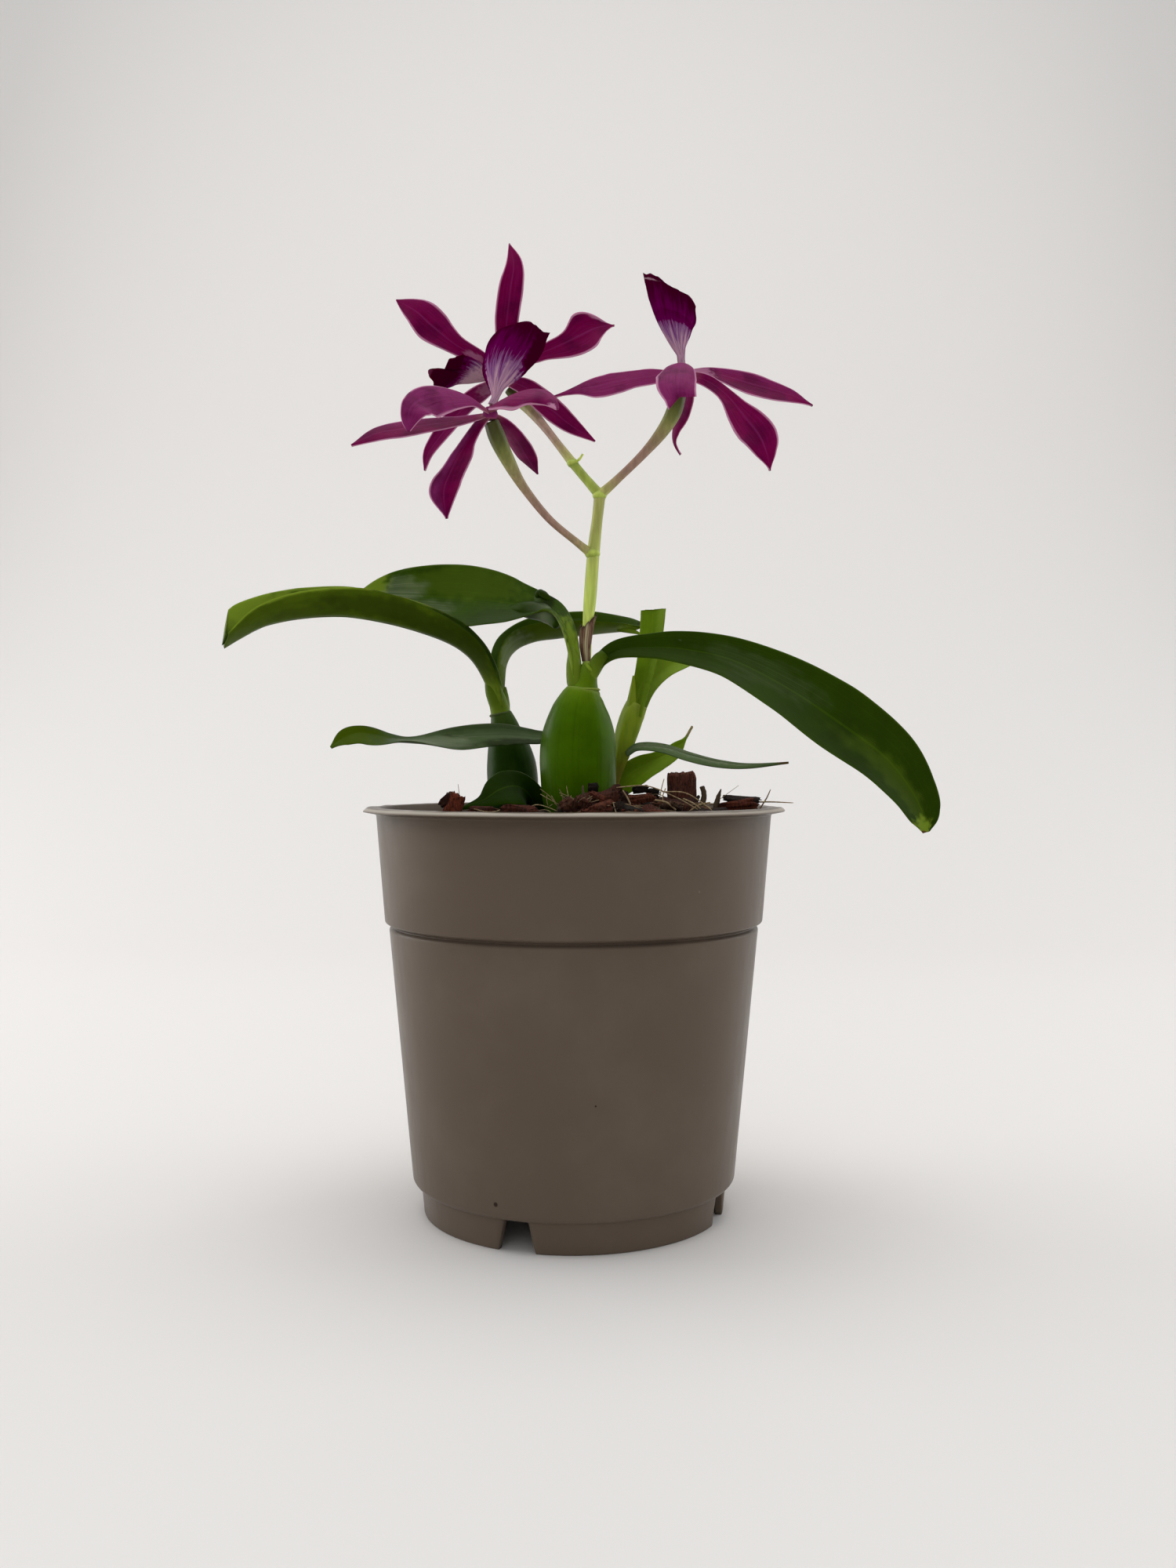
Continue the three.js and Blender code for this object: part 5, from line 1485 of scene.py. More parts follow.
LEAVES: dict[str, Blade] = {
    "leaf_right_front": Blade(
        stations=(
            (4.5, -11, 148.1, 1.1), (6.8, -11, 154.2, 2), (12.2, -11, 158.2, 3.1), (21.7, -12, 159, 4.1),
            (30.8, -14, 158.2, 5.3), (43.5, -17, 155, 6.8), (57.6, -21, 147.4, 9.1),
            (70.8, -24, 138.2, 10.6), (83.2, -26, 128.6, 9.7), (90.6, -27, 119, 7.2),
            (93.6, -27, 112.6, 5), (94.6, -27, 108.4, 1),
        ),
        face=((-0.3, -0.9, 0.2), (0, -0.95, 0.3), (0.1, -0.92, 0.36), (0.2, -0.9, 0.3)),
        fold=(30, 14, 8, 6), bend=(10, 20, 25, 30),
        shares=((1, 1, 1, 0.98, 0.97, 0.98, 1), (1, 1, 1.02, 1.06, 1.08, 1.03, 1)), thickness=1.3,
        rows=180, columns=30,
        marks=(
            Mark("pale", 0.99, 0.3, 0.1, 1, 0.75), Mark("dusty", 0.364, -0.40, 0.007, 0.03),
            Mark("dusty", 0.375, -0.46, 0.004, 0.03), Mark("dusty", 0.352, -0.52, 0.004, 0.02, 0.9),
            Mark("dusty", 0.5, -0.1, 0.12, 0.6, 0.12), Mark("pale", 0.84, 0.2, 0.2, 0.5, 0.12),
            Mark("dry", 0.998, 0.9, 0.012, 0.6), Mark("pale", 0.02, 0, 0.1, 1.4, 0.7),
        ),
        tone=-0.3, seed=11,
    ),
    "leaf_left_front": Blade(
        stations=(
            (-22.9, 13.9, 142.6, 2.6), (-25.6, 12, 150.4, 4.4), (-29.8, 10, 157.6, 5.7),
            (-36, 7, 162.2, 7.2), (-45.6, 3, 165.6, 8.4), (-55.6, -1, 167.9, 9), (-65, -5, 168.9, 9),
            (-76, -8, 168.1, 8.8), (-85.2, -10, 166.1, 8), (-91.4, -11, 163, 7), (-97.4, -12, 159.2, 4.4),
        ),
        face=((0.95, -0.2, 0.3), (0.6, -0.25, 0.7), (0.15, -0.1, 1), (0, -0.3, 0.95), (-0.1, -0.5, 0.85)),
        fold=(62, 58, 56, 54, 44), bend=(0, 10, 14, 14, 10), reach=(0.95, 0.98, 1, 0.965, 0.91),
        shares=((1, 1, 1, 1, 1, 1, 1, 1, 1, 0.92, 0.9), (1, 1, 1, 1, 1, 1, 1, 0.98, 1.04, 1.25, 1.4)),
        thickness=1.3, rows=180, columns=30,
        marks=(
            Mark("pale", 0.88, 0.8, 0.2, 0.6, 0.85), Mark("deep", 0.97, 0.4, 0.07, 0.7, 0.25),
            Mark("pale", 0.6, 0.98, 0.3, 0.1, 0.7), Mark("pale", 0.76, -0.99, 0.26, 0.07, 0.9),
            Mark("deep", 0.27, 0, 0.2, 2, 0.45), Mark("deep", 0.46, -0.5, 0.26, 0.5, 0.5),
            Mark("deep", 0.68, -0.25, 0.16, 0.3, 0.3), Mark("pale", 0.02, 0, 0.12, 1.4, 0.55),
        ),
        tone=0.05, seed=12,
    ),
    "leaf_upper_left": Blade(
        stations=(
            (0.1, -9.8, 148.2, 2.6), (-0.4, -9.4, 154.2, 2.7), (-1.3, -7.6, 160, 2.8),
            (-3, -3.6, 166, 2.9), (-5.6, 1, 170.4, 3.1), (-9.8, 5, 172.3, 4.2), (-18, 10, 173.6, 6.8),
            (-26.2, 14, 175.2, 8.2), (-35.9, 18, 176.4, 8.8), (-50.5, 22, 177.6, 7.4),
            (-59.1, 24, 178.2, 4.8), (-66.2, 26, 178.4, 0.8),
        ),
        face=((0.7, -0.7, 0.1), (0.5, -0.8, 0.3), (0.1, -0.95, 0.35), (0, -0.95, 0.3), (0, -0.95, 0.3)),
        fold=(42, 34, 12, 8, 8), bend=(20, 20, 16, 20, 24),
        shares=((1, 1, 1, 1.1, 1.28, 1.3, 1.1, 1), (1, 1, 1.1, 1.05, 1.12, 1.18, 1.16, 1.1)),
        thickness=1.2, rows=180, columns=30,
        marks=(
            Mark("pale", 0.1, 0, 0.24, 1.5, 0.8), Mark("deep", 0.42, 0.3, 0.035, 1.2, 0.8),
            Mark("dusty", 0.84, 0.2, 0.06, 0.7, 0.6), Mark("dusty", 0.78, -0.4, 0.09, 0.3, 0.4),
            Mark("pale", 0.93, 0.3, 0.06, 1.5, 0.7), Mark("dusty", 0.47, 0.4, 0.012, 0.3, 0.4),
            Mark("deep", 0.55, -0.7, 0.16, 0.5, 0.35), Mark("pale", 0.68, 0.5, 0.2, 0.6, 0.16),
        ),
        tone=0.1, seed=13,
    ),
    "leaf_back_arching": Blade(
        stations=(
            (-21.5, 16.9, 142.8, 1.1), (-21.4, 19.5, 151.5, 3), (-20.9, 22, 157.4, 4.8),
            (-18.2, 25, 161.9, 6.4), (-12.8, 27, 164.6, 7.4), (-4.9, 28, 165.8, 7.8), (5.3, 28, 167, 7.2),
            (14.9, 28, 168, 4.9), (20.8, 27, 168.2, 2.6),
        ),
        face=((-0.9, -0.2, 0.3), (-0.6, -0.3, 0.7), (0, -0.4, 0.9), (0, -0.4, 0.9)),
        fold=(58, 52, 46, 30), bend=(0, 12, 16, 10), reach=(1, 0.985, 0.96, 0.93, 0.96, 0.985, 1),
        thickness=1.2,
        marks=(
            Mark("deep", 0.985, -0.6, 0.025, 0.5, 0.95), Mark("pale", 0, 0, 0.1, 1.5, 0.6),
            Mark("pale", 0.92, 0.5, 0.09, 0.5, 0.6), Mark("dusty", 0.34, 0.4, 0.16, 0.6, 0.6),
            Mark("dusty", 0.6, -0.4, 0.2, 0.3, 0.35),
        ),
        tone=0.15, seed=14,
    ),
    "leaf_shoot_upright": Blade(
        stations=(
            (18, 8.9, 141, 2.9), (19.4, 8.9, 147.4, 3.1), (20.8, 9.4, 152.9, 3.2),
            (22.2, 10.4, 160.2, 3.5), (23, 11.2, 166.4, 3.7), (23.3, 12, 172.3, 3.7),
        ),
        face=((-0.35, -0.9, 0), (-0.3, -0.95, 0)), fold=(24, 14), bend=(20, 20),
        shares=((1, 1, 1), (1, 1.15, 1.3)), reach=(0.985, 1, 0.99), ruffle=0.01, thickness=0.9, rows=90,
        uneven=0.06, marks=(Mark("pale", 0.1, 0.3, 0.3, 0.9, 0.4), Mark("pale", 0.8, 0.8, 0.5, 0.5, 0.4)),
        tone=0.15, seed=15,
    ),
    "leaf_shoot_folded": Blade(
        stations=(
            (17.8, 11.6, 139.6, 3.1), (19.6, 12.2, 144.8, 3.3), (22.2, 13, 150, 3.6),
            (26.4, 14, 154.6, 4.3), (31.4, 15, 157.6, 4.6), (36.6, 16, 159.4, 3.9),
            (41.6, 17, 158.8, 1.8),
        ),
        face=((-0.3, -0.9, 0.2), (-0.2, -0.85, 0.4)), fold=(20, 14), bend=(16, 20), thickness=0.9,
        rows=100, uneven=0.06, marks=(Mark("pale", 0.3, 0.1, 0.5, 1.5, 0.75),), tone=0.2, seed=16,
    ),
    "leaf_right_narrow": Blade(
        stations=(
            (15.4, 7.1, 129.6, 1), (18.8, 6, 131.6, 1.5), (26, 5, 131.4, 1.9), (33.5, 3, 129.3, 2),
            (41.7, 1, 127.3, 1.8), (50.1, -1, 126.4, 1.3), (61.2, -3, 127.2, 0.3),
        ),
        face=((0, -0.8, 0.6), (0.1, -0.85, 0.5)), fold=(16, 10), bend=(10, 10),
        shares=((1, 1, 0.75, 0.5, 0.45, 0.5, 0.6), (1, 1.05, 1.3, 1.55, 1.45, 1.1, 1)), thickness=0.8,
        rows=130, columns=20, uneven=0.05,
        # its broad grey mark and raised tone are a painted sheen
        marks=(Mark("dry", 1, 0, 0.06, 1.5, 0.9), Mark("dusty", 0.5, -0.2, 0.6, 0.7, 0.75)), tone=0.35,
        seed=17,
    ),
    "leaf_right_short": Blade(
        stations=(
            (8.6, 14.6, 114, 1.6), (12.6, 14.6, 120.4, 4.6), (18, 15, 125, 5.6), (24, 15.6, 128.2, 4.8),
            (29.4, 17, 131, 3.3), (33, 18, 134.2, 0.65), (35.4, 19, 138.2, 0.22),
        ),
        face=((0.5, -0.8, 0.3), (0.2, -0.9, 0.4)), fold=(24, 10), bend=(24, 16),
        shares=((1, 0.85, 0.62, 0.45, 0.9, 1), (1, 1, 1, 1, 1, 1)), thickness=0.9, rows=110, uneven=0.1,
        marks=(Mark("pale", 0.55, 0.3, 0.3, 0.7, 0.45), Mark("straw", 0.98, 0, 0.14, 1.5)), tone=0.35,
        seed=18,
    ),
    "leaf_left_dark": Blade(
        stations=(
            (3.4, 4.8, 107.2, 1.2), (3.3, 4.8, 116, 1.5), (1.6, 4.9, 126, 1.8), (-4, 4.2, 133, 2.2),
            (-11.7, 1, 134, 3.2), (-20.4, -4, 134.6, 4), (-33.3, -9, 133.8, 3.8), (-43.8, -13, 133, 2.6),
            (-50.7, -15, 133.6, 2.3), (-58, -17, 135.2, 2.1), (-62.6, -18, 134, 2.3),
            (-66.4, -18, 131.2, 0.4),
        ),
        face=(
            (-0.9, -0.3, 0), (-0.6, -0.4, 0.5), (-0.1, -0.75, 0.7), (0, -0.8, 0.5), (0, -0.3, 0.95),
            (-0.2, -0.9, 0.4), (-0.3, -0.9, 0.4),
        ),
        fold=(30, 16, 10, 10, 14, 14), bend=(10, 10),
        shares=((1, 1, 1, 0.95, 1.15, 2.6, 2.6, 1.7, 1), (1, 1, 1, 1, 1, 1, 1, 1, 1)), thickness=0.9,
        rows=170, columns=20, uneven=0.08,
        marks=(
            Mark("olive", 0.9, 0, 0.2, 1.8), Mark("deep", 0.56, 0.3, 0.012, 0.12, 0.8),
            Mark("dusty", 0.6, -0.3, 0.1, 0.8, 0.75), Mark("deep", 0.34, -0.7, 0.22, 0.45, 0.8),
            Mark("deep", 0.42, 0.8, 0.2, 0.3, 0.4), Mark("dusty", 0.4, 0.1, 0.2, 0.4, 0.25),
        ),
        seed=19,
    ),
    "leaf_low_left": Blade(
        stations=(
            (-7.6, 1.4, 107, 1.4), (-10.2, -0.6, 113, 2.6), (-12.6, -5.4, 117.8, 4.2),
            (-16.2, -10.2, 120.2, 5.4), (-20.4, -13.6, 119.4, 4.7), (-25, -16, 116.4, 2),
            (-30.6, -17, 114.6, 0.5),
        ),
        face=((-0.4, -0.8, 0.3), (-0.1, -0.85, 0.5), (-0.1, -0.7, 0.7)), fold=(20, 4, 0), bend=(6, 6, 8),
        shares=((1, 1.2, 1.4, 1.4, 1), (1, 1, 1.05, 1.05, 1)), thickness=1.1, rows=120, tone=-0.5,
        seed=20,
    ),
}


PETIOLES: dict[str, tuple[Rod, ...]] = {
    "leaf_right_front": (
        Rod(
            (
                (4.2, -10.9, 149.6, 1.5), (5.4, -11.2, 152.4, 1.9), (7, -11.4, 155.4, 2.1),
                (9, -11.4, 157.4, 1.6),
            ),
            60, 28, rough=0.04, dome=0.7, tints={"pale": (0.9, 0.6, 0.3, 0.1)},
        ),
        Rod(
            ((5.8, -12.4, 151.9, 0.3), (4.4, -12.9, 153.3, 0.5), (3.2, -12.4, 154.9, 0.4)), 30, 12,
            dome=0.8, tints={"pale": (0.7, 1, 0.8)},
        ),
    ),
    "leaf_upper_left": (
        Rod(
            (
                (1, -9.9, 147.6, 2.4), (0.5, -9.9, 150.4, 2.45), (0.2, -9.6, 153.8, 2.25),
                (-0.1, -8.4, 157.4, 1.6), (-0.8, -6.4, 161.2, 0.6),
            ),
            70, 32, rough=0.03, dome=0.7, tints={"pale": (0.6, 0.55, 0.6, 0.6, 0.6)},
        ),
        Rod(
            (
                (-18.9, 9.6, 172.4, 0.8), (-14.3, 7, 171.9, 2.3), (-9.6, 4.5, 170.9, 2.7),
                (-6.6, 2, 168.9, 2.2), (-4.7, -1, 166.3, 1.2),
            ),
            60, 26, rough=0.08, dome=0.8,
            tints={"deep": (0, 0.3, 0.6, 0.5, 0.2), "dusty": (0, 0, 0.3, 0.6, 0)},
        ),
        Rod(
            (
                (-11.2, 5, 175.2, 0.5), (-9.9, 5, 176.3, 1.2), (-8.2, 4.4, 175.3, 1.1),
                (-6.3, 3.6, 174, 0.5),
            ),
            30, 18, rough=0.2, dome=0.8, tints={"deep": (0.3, 0.5, 0.5, 0.3)},
        ),
    ),
    "leaf_left_front": (
        Rod(
            (
                (-21.9, 14.8, 141.6, 2.9), (-22.5, 14.4, 144.4, 2.75), (-23.7, 13.6, 147.8, 2.6),
                (-24.6, 12.8, 151.2, 2), (-25.8, 12, 154.4, 0.8),
            ),
            70, 32, rough=0.03, dome=0.7, tints={"pale": (0.7, 0.5, 0.35, 0.2, 0.1)},
        ),
    ),
    "leaf_back_arching": (
        Rod(
            ((-21.2, 16.4, 142, 2), (-21.2, 17.8, 146, 1.7), (-21.2, 19.4, 150, 0.7)), 40, 24, rough=0.03,
            dome=0.7, tints={"pale": (0.6, 0.4, 0.2)},
        ),
        Rod(
            ((12.7, 26.8, 168.3, 0.9), (17.3, 26.2, 167.5, 0.8), (20.6, 26, 166.4, 0.2)), 30, 12,
            dome=0.8, tints={"pale": (0.3, 0.8, 0.9)},
        ),
    ),
}


class Foliage:
    """The ten leaves."""

    GREEN = LeafFinish(srgb(35, 58, 0), srgb(66, 84, 10), srgb(54, 80, 2))
    # its greyish upper colour is partly the leaf's colour and partly a painted sheen
    DARK = LeafFinish(srgb(58, 74, 44), srgb(40, 54, 28), srgb(80, 94, 66), gloss=0.44)
    YOUNG = LeafFinish(srgb(92, 120, 16), srgb(98, 122, 26), srgb(116, 140, 34))
    SHADED = LeafFinish(srgb(35, 62, 0), srgb(50, 72, 10), srgb(54, 80, 2), shine=0.06)
    LOOKS = {
        "leaf_low_left": (SHADED, Slot.LEAF), "leaf_shoot_upright": (YOUNG, Slot.LEAF_YOUNG),
        "leaf_shoot_folded": (YOUNG, Slot.LEAF_YOUNG), "leaf_right_short": (YOUNG, Slot.LEAF_YOUNG),
        "leaf_right_narrow": (DARK, Slot.LEAF_DARK), "leaf_left_dark": (DARK, Slot.LEAF_DARK),
    }

    def build(self) -> None:
        """Adds each leaf with its finish."""
        made: dict[LeafFinish, bpy.types.Material] = {}
        for name, blade in LEAVES.items():
            finish, slot = self.LOOKS.get(name, (self.GREEN, Slot.LEAF))
            if finish not in made:
                made[finish] = finish.material(f"{slot.value}_{len(made)}")
            stalks = [rod.shell() for rod in PETIOLES.get(name, ())]
            add_piece(f"{name}_look", [blade.shell(), *stalks], made[finish], [name])


class Shoot:
    """The bract round the young shoot, and the tip that stands free of it."""

    SHEATH = (
        (9.6, 9.6, 108.4, 1.6), (10.4, 9.8, 116.5, 1.8), (12.2, 9.8, 124.4, 2), (13.8, 9.8, 129.7, 2.7),
        (15.4, 10, 135.5, 3.35), (17, 10.1, 140.4, 3.5), (18.6, 10.4, 144.4, 3.2),
    )
    TIP = Blade(
        stations=(
            (15, 9.2, 138.5, 2.4), (16.3, 7.9, 143.9, 1.9), (17, 7.7, 149, 1.1), (17.4, 7.8, 152.6, 0.3),
        ),
        face=((0.5, 0.85, 0), (0.5, 0.85, 0)), fold=(20, 30), thickness=0.7, rows=50, columns=16,
        uneven=0.04,
    )

    def build(self) -> None:
        """Adds the bract."""
        green, brown = srgb(132, 154, 14), srgb(104, 58, 28)
        skin = PlainFinish(green, srgb(112, 134, 12), 0.5, (420.0, 420.0, 60.0), deep=brown)
        flush = {"deep": (0.9, 0.8, 0.55, 0.15, 0, 0, 0), "pale": (0, 0, 0, 0, 0, 0, 0.1)}
        sheath = Rod(self.SHEATH, 90, 48, ribs=0.04, rib_count=5, rough=0.06, tints=flush)
        shells = [sheath.shell(), self.TIP.shell()]
        add_piece("shoot_sheath_look", shells, skin.material("sheath"), ["shoot_sheath"])


class Spike:
    """The flower stem with its nodes, pedicels and ribbed ovaries, and the dry bract at its foot."""

    FORK = (7.4, -7.0, 202.4)
    STEM = (
        (3.6, -8.2, 148.3, 1.1), (3.7, -7.6, 156.8, 1.2), (3.9, -7.4, 165.2, 1.35),
        (4.6, -7.6, 173, 1.75), (5.6, -8, 186.2, 1.7), (6.7, -7.4, 196, 1.5), (*FORK, 1.6),
    )
    LEFT = (
        (5.2, -8, 185.6, 1.3), (0.8, -11, 188.6, 1), (-6.7, -17, 194, 1), (-13.4, -22, 201.6, 1.2),
        (-17.4, -26, 208, 1.8), (-20, -29, 213.2, 2.2), (-21.6, -30.2, 217.4, 1.9),
    )
    RACHIS = ((*FORK, 1.5), (3.4, -5.4, 207.3, 1.3), (-0.4, -3.6, 212.2, 1.3))
    BACK = (
        (-0.2, -3.7, 212, 1.3), (-4.5, -1.4, 218, 1.1), (-8.6, 3.4, 224.2, 1.2), (-12.6, 8.6, 230, 1.6),
        (-16.6, 12.6, 235, 2), (-19.4, 11.9, 237.6, 1.6),
    )
    RIGHT = (
        (*FORK, 1.4), (12.8, -9, 206.9, 1.1), (19.4, -11, 213, 1.2), (24.7, -13, 218.9, 1.7),
        (28, -15, 224.6, 2.1), (29.5, -15.9, 232.2, 1.8),
    )
    NODES = ((5.3, -8.1, 185.8, 2.2), (7.3, -7, 202.2, 2), (-0.3, -3.7, 212.1, 1.7))
    BRACT = Blade(
        stations=((0.2, -4, 212.2, 1), (1.6, -4.6, 213, 0.8), (2.6, -5, 214.4, 0.3)),
        face=((-0.4, 0, 1), (-0.4, 0, 1)), thickness=0.6, rows=24, columns=10, uneven=0.03,
    )
    DRY = (
        (3.6, -7.65, 155.6, 1.3), (3.3, -7.5, 160.5, 1.7), (3.7, -7.4, 165.2, 1.95),
        (4.4, -7.45, 169, 1.95),
    )

    def rods(self) -> list[Shell]:
        """Makes the stem and pedicels; the ovaries are olive and ribbed."""
        flush = {"flush": (0.35, 0.9, 1, 0.7, 0.1, 0), "olive": (0, 0, 0, 0.3, 0.9, 1)}
        tan = {"node": (0.6, 0.3, 0, 0, 0.2, 0.3, 0.3), "flush": (0.1, 0.1, 0, 0, 0.25, 0.5, 0.5)}
        green = {"node": (0.4, 0.5, 0.6), "olive": (0.2, 0.2, 0.3)}
        ridge = {"node": (1, 0.2, 0.7)}
        rods = [
            Rod(self.STEM, 160, 28, ribs=0.02, rough=0.03, tints=tan),
            Rod(self.RACHIS, 40, 24, rough=0.03, tints=green),
        ]
        for line in (self.LEFT, self.BACK, self.RIGHT):
            rods.append(Rod(line, 120, 28, ribs=0.045, rough=0.02, tints=flush))
        for place in self.NODES:
            line = knob(place, 0.7, (0.6, 1.0, 0.6))
            rods.append(Rod(line, 20, 20, rough=0.06, dome=0.8, tints=ridge))
        return [rod.shell() for rod in rods]

    def dry_bract(self) -> Shell:
        """Makes the papery tube: a thin wrinkled wall, torn at the top and lower at one side."""
        layers = 60
        line = np.linspace(0, 1, layers)
        angle, section = circle(96)
        x, y = section.T
        teeth = noise_at(x * 3.2, y * 3.2, 0, 40, 3)
        torn = 0.84 + 0.16 * np.cos(angle - 0.4) - 0.1 * np.abs(teeth)
        s = np.concatenate([line, line[::-1]])[:, None] * torn
        wall = np.concatenate([np.zeros(layers), np.full(layers, 0.3)])[:, None]
        place = np.stack(np.broadcast_arrays(x * 3, y * 3, s * 3), -1)
        centre, _, radius = trace(self.DRY, s)
        flare = 0.5 * smooth(0.75, 1.0, s) * (0.4 + teeth)
        radius = radius - wall + 0.16 * noise(place, 41, 3) + flare
        offset = np.stack([radius * x, radius * y, 0 * radius], -1)
        light = smooth(0.1, 0.5, noise(place * (1.2, 1.2, 0.25), 44, 2))
        deep = np.broadcast_to(smooth(0.86, 1.0, s / torn), s.shape)
        return tube(centre + offset, {"pale": 0.75 * light, "deep": 0.7 * deep}, closed=False)

    def build(self) -> None:
        """Adds the stem and the dry bract."""
        skin = StemFinish().material("flower_stem")
        shells = [*self.rods(), self.BRACT.shell()]
        add_piece("flower_spike_look", shells, skin, ["flower_spike"])
        paper = PlainFinish(srgb(88, 56, 40), srgb(122, 96, 74), 0.75, (1500.0, 1500.0, 250.0))
        skin = paper.material("papery_bract")
        add_piece("spike_sheath_look", [self.dry_bract()], skin, ["spike_sheath"])


@dataclass(frozen=True)
class BloomShape:
    """One bloom: its hub (x, y, z, radius), its sepals and petals, its lip and its column."""

    hub: Station
    tepals: tuple[Blade, ...]
    lip: Blade
    column: tuple[Station, ...]


def tepal(
    stations: tuple[Station, ...], face: tuple[Point, ...], bend: tuple[float, ...], wave: float = 0.0,
    **more
) -> Blade:
    """Returns a sepal or petal as a blade, its margins rippled by the wave towards the tip."""
    settings = {"wave": (0, wave, wave), "thickness": 0.7, "rows": 96, "columns": 24, "uneven": 0.12}
    return Blade(stations=stations, face=face, bend=bend, **{**settings, **more})


def lip_blade(**settings) -> Blade:
    """Returns a lip as a blade: thin, and with more rows and columns for its ruffles."""
    return Blade(thickness=0.6, rows=112, columns=52, **settings)


